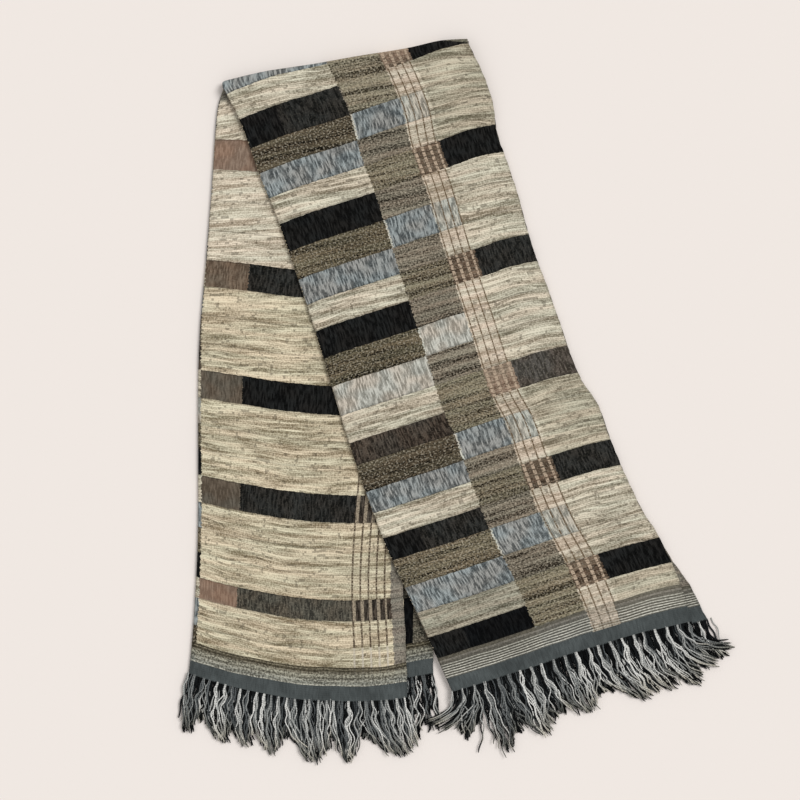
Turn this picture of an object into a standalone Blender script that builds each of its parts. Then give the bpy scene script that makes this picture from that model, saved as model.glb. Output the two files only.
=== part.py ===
"""A hand-woven fringed throw, folded in half along its length and then folded once across.

The folded strip lies flat on a surface. Its upper leg crosses over the lower one, so the two spread below the
cross fold like an open pair of compasses. Each leg is two layers of cloth, joined by the lengthwise fold on
its left and open at the selvedges on its right. Each end of the throw has a fringe of yarn locks.
Metres, +Z up, the surface at Z = 0, and +Y towards the cross fold.
"""

import math

import bmesh
import bpy
import numpy as np
from mathutils import Vector

MM = 0.001

# The cloth as cut, and how thick its layers lie.
HALF_WIDTH = 360 * MM
CLOTH_THICKNESS = 1.6 * MM
LAYER_CLEARANCE = 0.9 * MM
SWELL = 1.1 * MM
# Soft waves of the swell, as (radians a metre along x, along y, phase, share of the swell).
SWELL_WAVES = [(19, 11, 0.6, 0.3), (-17, 31, 2.0, 0.2)]

# The two folds.
EDGE_FOLD_RADIUS = 2.3 * MM
EDGE_FOLD_REACH = 22 * MM
CROSS_FOLD_LIFT = 6.0 * MM
CROSS_FOLD_REACH = 34 * MM
CROSS_FOLD_BULGE = 7.5 * MM

# Where the upper leg comes down from the lower one onto the surface, past the lower one's selvedge.
BRIDGE = 8 * MM
SLOPE = 62 * MM

# The fringe: a narrow heading parted from the cloth's end, with locks of yarn on it.
HEADING = 5.0 * MM
HEADING_GAP = 0.3 * MM
LOCKS_PER_LAYER = 34
FOLD_TO_FIRST_LOCK = 9 * MM
SELVEDGE_TO_LAST_LOCK = 1.5 * MM
LOCK_THICKNESS = 2.0 * MM
TIP_THICKNESS = 1.2 * MM
LOCK_CLEARANCE = 0.5 * MM
# How much of their spacing the locks fill at their roots and at their tips.
ROOT_FILL = 0.84
TIP_FILL = 0.56
# A lock leaves the heading straight for this share of its length, and those at a tuft's sides are shorter.
LOCK_FIRST_BEND = 0.42
TUFT_POINT = 0.26
# The shares of a lock's length over which it comes down, where it lies on other locks and where it doesn't.
FALL_ONTO_LOCKS = (0.1, 0.6)
FALL_ONTO_SURFACE = (0.0, 0.3)
# How far along the cloth's end, as a share of it, its direction at a lock is measured.
END_SPAN = 0.03

# Mesh steps.
LAYER_COLUMNS = 14
LEG_ROWS = 15
NEAR_EDGE_FOLD = (0.4, 1.0)
NEAR_CROSS_FOLD = (0.03, 0.075)
FOLD_STEPS = 6
BEND_STEPS = 8
LOCK_STEPS = 5

# Where the middle of the bounding box lies in the outlines below, in millimetres.
CENTRE = (2.4, -3.1)

# Outlines seen from above, as (x, y) in millimetres, from the cross fold down or from the left to the right.
CROSS_FOLD = [(-327, 443), (-314, 447), (-269, 457), (-202, 467), (-135, 480), (-68, 492), (-23, 502),
              (17, 504)]
UPPER_FOLD_EDGE = [(-300, 384), (-271, 304), (-246, 242), (-196, 92), (-150, -60), (-102, -195), (-52, -305),
                   (-5, -409)]
UPPER_SELVEDGE = [(34, 464), (51, 419), (58, 374), (81, 307), (107, 217), (139, 128), (171, 38), (199, -7),
                  (220, -63), (254, -141)]
UPPER_FRONT_SELVEDGE = UPPER_SELVEDGE + [(289, -199), (319, -270), (330, -311)]
UPPER_BACK_SELVEDGE = UPPER_SELVEDGE + [(293, -208), (327, -258), (353, -309)]
UPPER_FRONT_END = [(-5, -409), (55, -392), (126, -369), (201, -345), (275, -324), (330, -311)]
UPPER_BACK_END = [(-5, -409), (110, -377), (240, -339), (353, -309)]
LOWER_FOLD_EDGE = [(-333, 410), (-337, 372), (-343, 283), (-350, 193), (-358, 104), (-361, 14), (-361, -165),
                   (-364, -255), (-368, -322), (-374, -384)]
LOWER_BACK_SELVEDGE = [(-25, 137), (-60, -115), (-73, -241), (-70, -346), (-67, -417)]
LOWER_FRONT_SELVEDGE = [(-7, 137), (-27, -115), (-31, -283), (-32, -385)]
LOWER_BACK_END = [(-374, -384), (-348, -393), (-312, -403), (-231, -419), (-168, -424), (-105, -423),
                  (-67, -417)]
LOWER_FRONT_END = [(-374, -384), (-300, -398), (-200, -404), (-100, -396), (-32, -385)]

# Tufts that the locks of a layer gather into: (share of the cloth's end at which a tuft's roots stop, the x and
# y of its point and how wide its tips lie, in millimetres).
UPPER_FRONT_TUFTS = [(0.06, -12, -450, 18), (0.20, 76, -496, 30), (0.36, 128, -470, 34),
                     (0.57, 187, -440, 42), (0.74, 268, -421, 44), (0.85, 309, -407, 24),
                     (0.94, 350, -397, 22), (1.00, 383, -350, 18)]
UPPER_BACK_TUFTS = [(0.10, 18, -474, 26), (0.24, 88, -470, 42), (0.42, 148, -443, 48), (0.62, 218, -410, 56),
                    (0.80, 291, -410, 50), (0.92, 333, -396, 34), (1.00, 375, -368, 22)]
LOWER_BACK_TUFTS = [(0.08, -377, -467, 16), (0.20, -329, -482, 26), (0.31, -295, -488, 24),
                    (0.44, -259, -499, 28), (0.65, -198, -509, 34), (0.78, -150, -511, 16),
                    (1.00, -75, -500, 58)]
LOWER_FRONT_TUFTS = [(0.12, -358, -452, 36), (0.30, -312, -470, 48), (0.50, -233, -477, 64),
                     (0.70, -170, -477, 56), (0.86, -116, -480, 48), (1.00, -26, -471, 24)]

UPPER_TUFTS = {"front": UPPER_FRONT_TUFTS, "back": UPPER_BACK_TUFTS}
LOWER_TUFTS = {"front": LOWER_FRONT_TUFTS, "back": LOWER_BACK_TUFTS}

CREAM = (0.50, 0.46, 0.38, 1)
SLATE = (0.20, 0.21, 0.21, 1)


def smooth_line(points):
    """Returns a function from 0..1 to a place on the Catmull-Rom curve through points, even in length."""
    knots = np.array([points[0], *points, points[-1]], float)
    t = np.linspace(0, 1, 17)[:-1, None]
    spans = []
    for before, a, b, after in zip(knots, knots[1:], knots[2:], knots[3:]):
        spans.append(0.5 * (2 * a + (b - before) * t + (2 * before - 5 * a + 4 * b - after) * t**2
                            + (3 * a - before - 3 * b + after) * t**3))
    line = np.vstack([*spans, knots[-1]])
    along = np.concatenate([[0], np.cumsum(np.linalg.norm(np.diff(line, axis=0), axis=1))])
    length = along[-1]

    def place(share):
        return np.array([np.interp(share * length, along, line[:, axis]) for axis in (0, 1)])

    place.length = length
    return place


def outline(points):
    """A smooth line through points given in millimetres."""
    return smooth_line([((x - CENTRE[0]) * MM, (y - CENTRE[1]) * MM) for x, y in points])


FOLD_ALONG = np.array([CROSS_FOLD[-1][axis] - CROSS_FOLD[0][axis] for axis in (0, 1)], float)
FOLD_ALONG /= np.linalg.norm(FOLD_ALONG)
FOLD_OUT = np.array([-FOLD_ALONG[1], FOLD_ALONG[0]])
CREASE_POINTS = [tuple(np.array(point) - FOLD_OUT * CROSS_FOLD_BULGE / MM) for point in CROSS_FOLD]
CREASE = outline(CREASE_POINTS)


class Layer:
    """One layer of one leg, seen from above: a patch between its fold edge, selvedge, crease and end."""

    def __init__(self, fold_edge, selvedge, end):
        self.fold_edge = outline([CREASE_POINTS[0], *fold_edge])
        self.selvedge = outline([CREASE_POINTS[-1], *selvedge])
        self.end = outline(end)

    def place(self, across, down):
        """across is 0 at the fold edge and 1 at the selvedge; down is 0 at the crease and 1 at the end."""
        ruled = (1 - down) * CREASE(across) + down * self.end(across)
        railed = (1 - across) * self.fold_edge(down) + across * self.selvedge(down)
        corners = ((1 - across) * (1 - down) * CREASE(0) + across * (1 - down) * CREASE(1)
                   + (1 - across) * down * self.end(0) + across * down * self.end(1))
        return ruled + railed - corners

    def length(self, across):
        """How far it is from the crease to the end at this share of the width."""
        return (1 - across) * self.fold_edge.length + across * self.selvedge.length


UPPER = {"front": Layer(UPPER_FOLD_EDGE, UPPER_FRONT_SELVEDGE, UPPER_FRONT_END),
         "back": Layer(UPPER_FOLD_EDGE, UPPER_BACK_SELVEDGE, UPPER_BACK_END)}
LOWER = {"front": Layer(LOWER_FOLD_EDGE, LOWER_FRONT_SELVEDGE, LOWER_FRONT_END),
         "back": Layer(LOWER_FOLD_EDGE, LOWER_BACK_SELVEDGE, LOWER_BACK_END)}


def ease(value, low, high):
    """0 below low, 1 above high, and smooth between them."""
    t = min(max((value - low) / (high - low), 0), 1)
    return t * t * (3 - 2 * t)


def swell(place):
    """How much the upper of two layers lifts here in soft waves, which never go below zero."""
    x, y = place
    return SWELL * sum(share * (1 + math.sin(a * x + b * y + phase)) for a, b, phase, share in SWELL_WAVES)


def half_gap(reach, place):
    """Half the height between the middles of a leg's two layers, reach metres in from the lengthwise fold."""
    flat = (CLOTH_THICKNESS + LAYER_CLEARANCE) / 2 + swell(place)
    return flat + (EDGE_FOLD_RADIUS - flat) * math.exp(-max(reach, 0) / EDGE_FOLD_REACH)


def lower_selvedge(y):
    """The x of the lower leg's outermost selvedge."""
    points = [CREASE_POINTS[-1], *LOWER_FRONT_SELVEDGE]
    xs = [(point[0] - CENTRE[0]) * MM for point in reversed(points)]
    ys = [(point[1] - CENTRE[1]) * MM for point in reversed(points)]
    return np.interp(y, ys, xs)


def support(place, from_crease):
    """The height of what the upper leg lies on here: the lower leg or, past its selvedge, a slope down to 0."""
    x, y = place
    cover = 1 - ease(x - lower_selvedge(y), BRIDGE, BRIDGE + SLOPE)
    lower_leg = 2 * CLOTH_THICKNESS + LAYER_CLEARANCE + 2 * swell(place)
    lift = CROSS_FOLD_LIFT * math.exp(-from_crease / CROSS_FOLD_REACH)
    return cover * (lower_leg + LAYER_CLEARANCE / 2 + lift)


QUARTER_TURN = EDGE_FOLD_RADIUS * math.pi / 2


def across_fold(u):
    """Where u, measured along the cloth from the fold line, falls: (reach in from the fold, side, turn)."""
    side = -1 if u < 0 else 1
    if abs(u) < QUARTER_TURN:
        turn = abs(u) / EDGE_FOLD_RADIUS
        return EDGE_FOLD_RADIUS * (1 - math.cos(turn)), side, turn
    return EDGE_FOLD_RADIUS + abs(u) - QUARTER_TURN, side, math.pi / 2


WIDEST_REACH = across_fold(HALF_WIDTH)[0]


def leg_point(leg, u, down):
    """A point of the cloth's middle. u runs from the front selvedge, below 0, to the back one."""
    reach, side, turn = across_fold(u)
    layer = leg["front" if side < 0 else "back"]
    across = reach / WIDEST_REACH
    place = layer.place(across, down)
    half = half_gap(reach - EDGE_FOLD_RADIUS, place) if turn >= math.pi / 2 else EDGE_FOLD_RADIUS
    from_crease = down * layer.length(across)
    if leg is UPPER:
        base = support(place, from_crease)
        height = half * (1 - side * math.sin(turn))
    else:
        base = 0
        height = half * (1 + side * math.sin(turn))
    return np.array([place[0], place[1], base + CLOTH_THICKNESS / 2 + height])


def bend_point(u, turned):
    """A point in the cross fold. turned is 0 at the upper leg and pi at the lower one."""
    top = leg_point(UPPER, u, 0)
    bottom = leg_point(LOWER, u, 0)
    radius = (top[2] - bottom[2]) / 2
    place = top[:2] + FOLD_OUT * radius * math.sin(turned)
    return np.array([*place, (top[2] + bottom[2]) / 2 + radius * math.cos(turned)])


def end_share(leg, u, inset):
    """The share of the way down at which the cloth lies inset metres short of its end."""
    reach, side, _ = across_fold(u)
    layer = leg["front" if side < 0 else "back"]
    return 1 - inset / layer.length(reach / WIDEST_REACH)


def both_sides(one_side):
    """Values of u for both layers, with the turn of the lengthwise fold between them."""
    turn = [QUARTER_TURN * (2 * i / FOLD_STEPS - 1) for i in range(FOLD_STEPS + 1)]
    return [-u for u in reversed(one_side)] + turn + one_side


def cloth_columns():
    """Values of u across the throw, close together around the lengthwise fold."""
    near = [QUARTER_TURN + EDGE_FOLD_REACH * share for share in NEAR_EDGE_FOLD]
    start = near[-1]
    flat = [start + (HALF_WIDTH - start) * (i + 1) / LAYER_COLUMNS for i in range(LAYER_COLUMNS)]
    one_side = near + flat
    return both_sides(one_side)


def cloth_rows():
    """Steps along the throw, as (leg, share down) on the legs and (None, angle turned) in the cross fold."""
    start = NEAR_CROSS_FOLD[-1]
    leg = [*NEAR_CROSS_FOLD, *(start + (1 - start) * (i + 1) / LEG_ROWS for i in range(LEG_ROWS))]
    upper = [(UPPER, share) for share in reversed(leg)]
    bend = [(None, math.pi * i / BEND_STEPS) for i in range(BEND_STEPS + 1)]
    lower = [(LOWER, share) for share in leg]
    return upper + bend + lower


def shaped_grid(columns, rows, point):
    """A bmesh grid whose vertex in column i and row j is moved to point(columns[i], rows[j])."""
    mesh = bmesh.new()
    bmesh.ops.create_grid(mesh, x_segments=len(columns) - 1, y_segments=len(rows) - 1, size=1)
    for vertex in mesh.verts:
        i = round((vertex.co.x + 1) / 2 * (len(columns) - 1))
        j = round((vertex.co.y + 1) / 2 * (len(rows) - 1))
        vertex.co = point(columns[i], rows[j])
    bmesh.ops.recalc_face_normals(mesh, faces=mesh.faces)
    return mesh


def material(name, colour, roughness):
    made = bpy.data.materials.new(name)
    made.use_nodes = True
    shader = made.node_tree.nodes["Principled BSDF"]
    shader.inputs["Base Color"].default_value = colour
    shader.inputs["Roughness"].default_value = roughness
    return made


def add_object(name, mesh_data, collection, finish):
    made = bpy.data.objects.new(name, mesh_data)
    made.data.materials.append(finish)
    collection.objects.link(made)
    return made


def solid_sheet(name, mesh, collection, finish):
    """An object of the sheet with the cloth's thickness, half of it on each side."""
    data = bpy.data.meshes.new(name)
    mesh.to_mesh(data)
    mesh.free()
    made = add_object(name, data, collection, finish)
    thick = made.modifiers.new("thickness", "SOLIDIFY")
    thick.thickness = CLOTH_THICKNESS
    thick.offset = 0
    return made


def build_cloth(collection, finish):
    def point(u, row):
        leg, where = row
        if leg is None:
            return bend_point(u, where)
        inset = HEADING + HEADING_GAP
        return leg_point(leg, u, where * end_share(leg, u, inset))

    cloth = solid_sheet("cloth", shaped_grid(cloth_columns(), cloth_rows(), point), collection, finish)
    cloth.data.shade_smooth()
    return cloth


def lock_reaches():
    """Where each lock's two sides leave the heading, measured from the lengthwise fold."""
    pitch = (HALF_WIDTH - SELVEDGE_TO_LAST_LOCK - FOLD_TO_FIRST_LOCK) / LOCKS_PER_LAYER
    middles = [FOLD_TO_FIRST_LOCK + (i + 0.5) * pitch for i in range(LOCKS_PER_LAYER)]
    return [(middle - pitch * ROOT_FILL / 2, middle + pitch * ROOT_FILL / 2) for middle in middles]


def tuft_of(share, tufts):
    """(the tuft's point, tip width, share of the end it takes, -1 to 1 from its left to its right)."""
    start = 0
    for stop, x, y, wide in tufts:
        if share <= stop:
            break
        start = stop
    point = np.array([x - CENTRE[0], y - CENTRE[1]]) * MM
    return point, wide * MM, stop - start, (2 * share - start - stop) / (stop - start)


def lock_rings(end, share, root, tufts, over_locks):
    """Rings down a lock after its root, as (middle, direction across, half width, half thickness)."""
    point, wide, taken, aside = tuft_of(share, tufts)
    chord = end(min(share + END_SPAN, 1)) - end(max(share - END_SPAN, 0))
    chord /= np.linalg.norm(chord)
    outward = np.array([chord[1], -chord[0]])
    tip = point + chord * aside * wide / 2
    tip += (root[:2] - tip) * TUFT_POINT * aside**2
    bend = root[:2] + outward * LOCK_FIRST_BEND * np.linalg.norm(tip - root[:2])
    root_pitch = end.length / LOCKS_PER_LAYER
    tip_pitch = wide / max(taken * LOCKS_PER_LAYER, 1)
    rings = []
    for step in range(1, LOCK_STEPS + 1):
        t = step / LOCK_STEPS
        place = root[:2] * (1 - t) ** 2 + bend * 2 * t * (1 - t) + tip * t**2
        ahead = (bend - root[:2]) * (1 - t) + (tip - bend) * t
        ahead /= np.linalg.norm(ahead)
        half_wide = (ROOT_FILL * root_pitch * (1 - t) + TIP_FILL * tip_pitch * t) / 2 * np.dot(ahead, outward)
        half_thick = (LOCK_THICKNESS if t < 1 else TIP_THICKNESS) / 2
        rest = half_thick + (LOCK_THICKNESS + LOCK_CLEARANCE if over_locks else 0)
        fall = ease(t, *(FALL_ONTO_LOCKS if over_locks else FALL_ONTO_SURFACE))
        height = max(root[2] * (1 - fall) + rest * fall, rest)
        rings.append((np.array([*place, height]), np.array([-ahead[1], ahead[0]]), half_wide, half_thick))
    return rings


def grow_lock(mesh, face, rings):
    """Extrudes a face of the heading's free end through the rings."""
    for middle, sideways, half_wide, half_thick in rings:
        before = face.calc_center_median()
        face = bmesh.ops.extrude_discrete_faces(mesh, faces=[face])["faces"][0]
        for vertex in face.verts:
            from_middle = vertex.co - before
            side = 1 if from_middle.x * sideways[0] + from_middle.y * sideways[1] > 0 else -1
            up = 1 if from_middle.z > 0 else -1
            place = middle[:2] + side * half_wide * sideways
            vertex.co = (*place, middle[2] + up * half_thick)


def heading_mesh(leg, name, collection, finish):
    """The strip at one leg's end, round its lengthwise fold, with an edge on each side of every lock."""
    columns = both_sides([reach for sides in lock_reaches() for reach in sides] + [HALF_WIDTH])

    def point(u, inset):
        return leg_point(leg, u, end_share(leg, u, inset))

    sheet = solid_sheet(name, shaped_grid(columns, [0.0, HEADING], point), collection, finish)
    evaluated = sheet.evaluated_get(bpy.context.evaluated_depsgraph_get())
    sheet.data = bpy.data.meshes.new_from_object(evaluated)
    sheet.modifiers.clear()
    return sheet


def nearest_face(mesh, place):
    return min(mesh.faces, key=lambda face: (face.calc_center_median() - Vector(place)).length_squared)


def build_fringe(name, leg, tufts, collection, finish):
    """The heading across one end of the throw with the locks of both layers."""
    fringe = heading_mesh(leg, name, collection, finish)
    mesh = bmesh.new()
    mesh.from_mesh(fringe.data)
    locks = []
    for layer, side in (("front", -1), ("back", 1)):
        over_locks = (layer == "front") == (leg is UPPER)
        for near, far in lock_reaches():
            root = (leg_point(leg, side * near, 1) + leg_point(leg, side * far, 1)) / 2
            share = across_fold((near + far) / 2)[0] / WIDEST_REACH
            rings = lock_rings(leg[layer].end, share, root, tufts[layer], over_locks)
            locks.append((nearest_face(mesh, root), rings))
    for face, rings in locks:
        grow_lock(mesh, face, rings)
    mesh.to_mesh(fringe.data)
    mesh.free()


def clear_scene():
    for old in list(bpy.data.objects):
        bpy.data.objects.remove(old)


def main():
    clear_scene()
    collection = bpy.data.collections.new("throw_blanket")
    bpy.context.scene.collection.children.link(collection)
    woven = material("woven_cloth", CREAM, 0.9)
    yarn = material("fringe_yarn", SLATE, 0.95)
    build_cloth(collection, woven)
    build_fringe("fringe_upper", UPPER, UPPER_TUFTS, collection, yarn)
    build_fringe("fringe_lower", LOWER, LOWER_TUFTS, collection, yarn)


main()
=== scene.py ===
# %% [markdown]
# # A hand-woven throw, folded twice and laid in a loose V
#
# The object is one length of handweave, 72 cm wide and 176 cm long, with a fringe at each end. It has been folded
# in half along its length and then once across, and the upper leg lies at an angle over the lower one. The solids
# already hold that shape. This lesson dresses them: a fine sheet for the cloth, its woven blocks and stripes, and
# almost fourteen hundred separate yarns for the fringes.

import math
from functools import partial

import bpy
import numpy as np
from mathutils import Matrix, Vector


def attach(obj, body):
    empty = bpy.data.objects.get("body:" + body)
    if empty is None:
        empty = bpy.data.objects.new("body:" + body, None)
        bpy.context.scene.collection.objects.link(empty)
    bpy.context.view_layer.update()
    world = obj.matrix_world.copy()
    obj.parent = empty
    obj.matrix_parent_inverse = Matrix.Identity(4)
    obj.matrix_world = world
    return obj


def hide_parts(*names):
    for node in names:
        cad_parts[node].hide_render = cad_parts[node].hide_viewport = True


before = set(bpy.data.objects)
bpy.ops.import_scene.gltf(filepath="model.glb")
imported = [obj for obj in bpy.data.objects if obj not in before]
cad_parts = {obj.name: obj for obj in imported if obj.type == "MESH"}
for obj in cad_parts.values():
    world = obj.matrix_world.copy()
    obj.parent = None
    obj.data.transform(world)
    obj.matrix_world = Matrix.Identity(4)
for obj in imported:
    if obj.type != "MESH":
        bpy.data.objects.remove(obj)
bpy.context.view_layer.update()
MM = 0.001

# %% [markdown]
# ## The camera
#
# The throw was looked at from straight above. One pixel of the 800 pixel frame covers 1.4 mm of the surface, so
# the frame is 1.12 m wide there. A 96 mm lens on a 36 mm sensor sees that from just under 3 m, far enough for the
# folds to keep their plain outline.

# %% A camera straight above
FRAME_WIDTH = 1.12
LENS, SENSOR = 96.0, 36.0
LOOK_AT = (-0.0812, 0.0021, 0.008)

lens = bpy.data.cameras.new("overhead")
lens.lens, lens.sensor_width = LENS, SENSOR
camera = bpy.data.objects.new("overhead", lens)
camera.location = (LOOK_AT[0], LOOK_AT[1], LOOK_AT[2] + FRAME_WIDTH * LENS / SENSOR)
bpy.context.scene.collection.objects.link(camera)
bpy.context.scene.camera = camera
print("camera", round(camera.location.z, 3), "m above the floor")

# %% [markdown]
# ## Colours and nodes
#
# Yarn colours are easiest to read as the hex values of a paint program, which are sRGB. A shader adds light, so it
# wants linear values, and one function makes the change. A second one adds a shader node with its settings and its
# links, which keeps the long weave material below readable.

# %% Helpers for materials
def linear(colour):
    """The linear RGBA of an sRGB hex colour."""
    parts = [int(colour[i:i + 2], 16) / 255 for i in (0, 2, 4)]
    return (*(c / 12.92 if c <= 0.04045 else ((c + 0.055) / 1.055) ** 2.4 for c in parts), 1.0)


def add(tree, kind, *inputs, **settings):
    """A new node with its settings. Its sockets in use take, in order, a value, a node or a node's output each."""
    made = tree.nodes.new("ShaderNode" + kind)
    for name, value in settings.items():
        setattr(made, name, value)
    for socket, source in zip([socket for socket in made.inputs if socket.enabled], inputs):
        if isinstance(source, bpy.types.Node):
            source = next(output for output in source.outputs if output.enabled)
        if isinstance(source, bpy.types.NodeSocket):
            tree.links.new(source, socket)
        elif source is not None:
            socket.default_value = source
    return made


def new_material(name, constants):
    """A material, its node tree and its shader, which has the constants on its sockets."""
    made = bpy.data.materials.new(name)
    made.use_nodes = True
    shader = made.node_tree.nodes["Principled BSDF"]
    for socket, value in constants.items():
        shader.inputs[socket].default_value = value
    return made, made.node_tree, shader


# %% [markdown]
# ## Floor and light
#
# Cloth shows its yarn best in soft light that still has a side to it. A pale sky fills every fold, and a low-power
# sun with a very wide disc, off to the upper right, gives slubs and folds a bright and a dark flank, like a window
# with a blind. Sky and sun together light a level surface with exactly 1, so with the standard view transform a
# matt surface comes out as the hex value that it was given. The floor is a board with matt paint, which has no
# gloss and so shows the same pale tone from every side, with only the throw's soft shadow on it.

# %% A pale floor under wide, soft light
SKY_SHARE = 0.56
SUN_FROM = (0.85, 0.45, 1.3)
SUN_DISC = math.radians(30)
# The floor reaches past every view's edge, and lies just under the lowest yarns.
FLOOR_SIZE = 40
FLOOR_BELOW = 0.4 * MM

bpy.context.scene.view_settings.view_transform = "Standard"
world = bpy.data.worlds.new("pale_sky")
world.use_nodes = True
sky = world.node_tree.nodes["Background"]
sky.inputs["Color"].default_value = linear("FFFFFF")
sky.inputs["Strength"].default_value = SKY_SHARE
bpy.context.scene.world = world

light = bpy.data.lights.new("wide_sun", "SUN")
light.angle = SUN_DISC
light.energy = (1 - SKY_SHARE) * math.pi / (SUN_FROM[2] / math.hypot(*SUN_FROM))
sun = bpy.data.objects.new("wide_sun", light)
sun.rotation_euler = Vector(SUN_FROM).to_track_quat("Z", "Y").to_euler()
bpy.context.scene.collection.objects.link(sun)

bpy.ops.mesh.primitive_plane_add(size=FLOOR_SIZE, location=(0, 0, -FLOOR_BELOW))
floor = bpy.context.object
floor.name = "floor"
painted, _, _ = new_material("matt_painted_board", {"Base Color": linear("F0E8E2"), "Roughness": 0.9,
                                                    "Specular IOR Level": 0.1})
floor.data.materials.append(painted)
print("floor", FLOOR_SIZE, "m wide, sun at a strength of", round(light.energy, 2))

# %% [markdown]
# ## Where the cloth lies
#
# Two folds give four layers. Seen from above, each leg is a patch between its fold edge, its selvedge, the cross
# fold and its own end, and the lines below are those edges in millimetres, read as the solids were.

# %% Outlines of the legs, from above
# Where the middle of the solids' box lies in the outlines, how far the cross fold bulges past its crease, and the
# steps of a curve between two points.
CENTRE = (2.4, -3.1)
CROSS_FOLD_BULGE = 7.5
CURVE_STEPS = 16
CROSS_FOLD = [(-327, 443), (-314, 447), (-269, 457), (-202, 467), (-135, 480), (-68, 492), (-23, 502),
              (17, 504)]
UPPER_FOLD_EDGE = [(-300, 384), (-271, 304), (-246, 242), (-196, 92), (-150, -60), (-102, -195), (-52, -305),
                   (-5, -409)]
UPPER_SELVEDGE = [(34, 464), (51, 419), (58, 374), (81, 307), (107, 217), (139, 128), (171, 38), (199, -7),
                  (220, -63), (254, -141)]
UPPER_FRONT_SELVEDGE = UPPER_SELVEDGE + [(289, -199), (319, -270), (330, -311)]
UPPER_BACK_SELVEDGE = UPPER_SELVEDGE + [(293, -208), (327, -258), (353, -309)]
UPPER_FRONT_END = [(-5, -409), (55, -392), (126, -369), (201, -345), (275, -324), (330, -311)]
UPPER_BACK_END = [(-5, -409), (110, -377), (240, -339), (353, -309)]
LOWER_FOLD_EDGE = [(-333, 410), (-337, 372), (-343, 283), (-350, 193), (-358, 104), (-361, 14), (-361, -165),
                   (-364, -255), (-368, -322), (-374, -384)]
LOWER_BACK_SELVEDGE = [(-25, 137), (-60, -115), (-73, -241), (-70, -346), (-67, -417)]
LOWER_FRONT_SELVEDGE = [(-7, 137), (-27, -115), (-31, -283), (-32, -385)]
LOWER_BACK_END = [(-374, -384), (-348, -393), (-312, -403), (-231, -419), (-168, -424), (-105, -423),
                  (-67, -417)]
LOWER_FRONT_END = [(-374, -384), (-300, -398), (-200, -404), (-100, -396), (-32, -385)]
print("the cross fold runs through", len(CROSS_FOLD), "points, and the lower fold edge through", len(LOWER_FOLD_EDGE))

# %% [markdown]
# A patch that is ruled between opposite edges is called a Coons patch. It is the natural choice for cloth, because
# the threads follow the edges that they were woven along.

# %% Smooth lines and the patches between them
def to_metres(points):
    return (np.array(points, float) - CENTRE) * MM


def smooth_line(points):
    """A function from shares of the length, 0 to 1, to places on a smooth curve through the points."""
    knots = np.array([points[0], *points, points[-1]])
    t = np.arange(CURVE_STEPS)[:, None] / CURVE_STEPS
    spans = [0.5 * (2 * a + (b - before) * t + (2 * before - 5 * a + 4 * b - after) * t**2
                    + (3 * a - before - 3 * b + after) * t**3)
             for before, a, b, after in zip(knots, knots[1:], knots[2:], knots[3:])]
    line = np.vstack([*spans, knots[-1]])
    along = np.concatenate([[0], np.cumsum(np.linalg.norm(np.diff(line, axis=0), axis=1))])

    def place(share):
        return np.stack([np.interp(share * along[-1], along, line[:, axis]) for axis in (0, 1)], axis=-1)

    place.length = along[-1]
    return place


fold_line = np.array(CROSS_FOLD[-1], float) - CROSS_FOLD[0]
fold_line /= np.linalg.norm(fold_line)
FOLD_OUT = np.array([-fold_line[1], fold_line[0]])
CREASE_POINTS = [tuple(np.array(point) - FOLD_OUT * CROSS_FOLD_BULGE) for point in CROSS_FOLD]
crease = smooth_line(to_metres(CREASE_POINTS))


class Layer:
    """One layer of one leg from above. across is 0 at the fold edge, and down is 0 at the cross fold."""

    def __init__(self, fold_edge, selvedge, end):
        self.fold_edge = smooth_line(to_metres([CREASE_POINTS[0], *fold_edge]))
        self.selvedge = smooth_line(to_metres([CREASE_POINTS[-1], *selvedge]))
        self.end = smooth_line(to_metres(end))

    def place(self, across, down):
        a, d = np.broadcast_arrays(across, down)
        ca, cd = a[..., None], d[..., None]
        ruled = (1 - cd) * crease(a) + cd * self.end(a)
        railed = (1 - ca) * self.fold_edge(d) + ca * self.selvedge(d)
        corners = ((1 - ca) * (1 - cd) * crease(0.0) + ca * (1 - cd) * crease(1.0)
                   + (1 - ca) * cd * self.end(0.0) + ca * cd * self.end(1.0))
        return ruled + railed - corners

    def length(self, across):
        return (1 - across) * self.fold_edge.length + across * self.selvedge.length


UPPER = {"front": Layer(UPPER_FOLD_EDGE, UPPER_FRONT_SELVEDGE, UPPER_FRONT_END),
         "back": Layer(UPPER_FOLD_EDGE, UPPER_BACK_SELVEDGE, UPPER_BACK_END)}
LOWER = {"front": Layer(LOWER_FOLD_EDGE, LOWER_FRONT_SELVEDGE, LOWER_FRONT_END),
         "back": Layer(LOWER_FOLD_EDGE, LOWER_BACK_SELVEDGE, LOWER_BACK_END)}
for name, leg in (("upper", UPPER), ("lower", LOWER)):
    print(name, "leg:", {side: f"{layer.fold_edge.length:.3f} m at the fold, {layer.selvedge.length:.3f} m at the "
                         f"selvedge" for side, layer in leg.items()})

# %% [markdown]
# ## How high it lies
#
# The lengthwise fold is a small half round. Behind it the two layers close to a gap of under a millimetre, with
# some soft swell. The upper leg lies on the lower one and comes down to the floor past its selvedge. Those are the
# heights of the solids. On top of them come the small troughs and ridges that a handled cloth keeps.

# %% Heights of the layers
HALF_WIDTH = 360 * MM
THICKNESS = 1.6 * MM
CLEARANCE = 0.9 * MM
# Soft waves that part the layers, as (radians a metre along x, along y, phase, share of the swell).
SWELL = 1.1 * MM
SWELL_WAVES = [(19, 11, 0.6, 0.3), (-17, 31, 2.0, 0.2)]
# The two folds, and how far from them the layers come together.
FOLD_RADIUS = 2.3 * MM
FOLD_REACH = 22 * MM
CROSS_FOLD_LIFT = 6.0 * MM
CROSS_FOLD_REACH = 34 * MM
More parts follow.
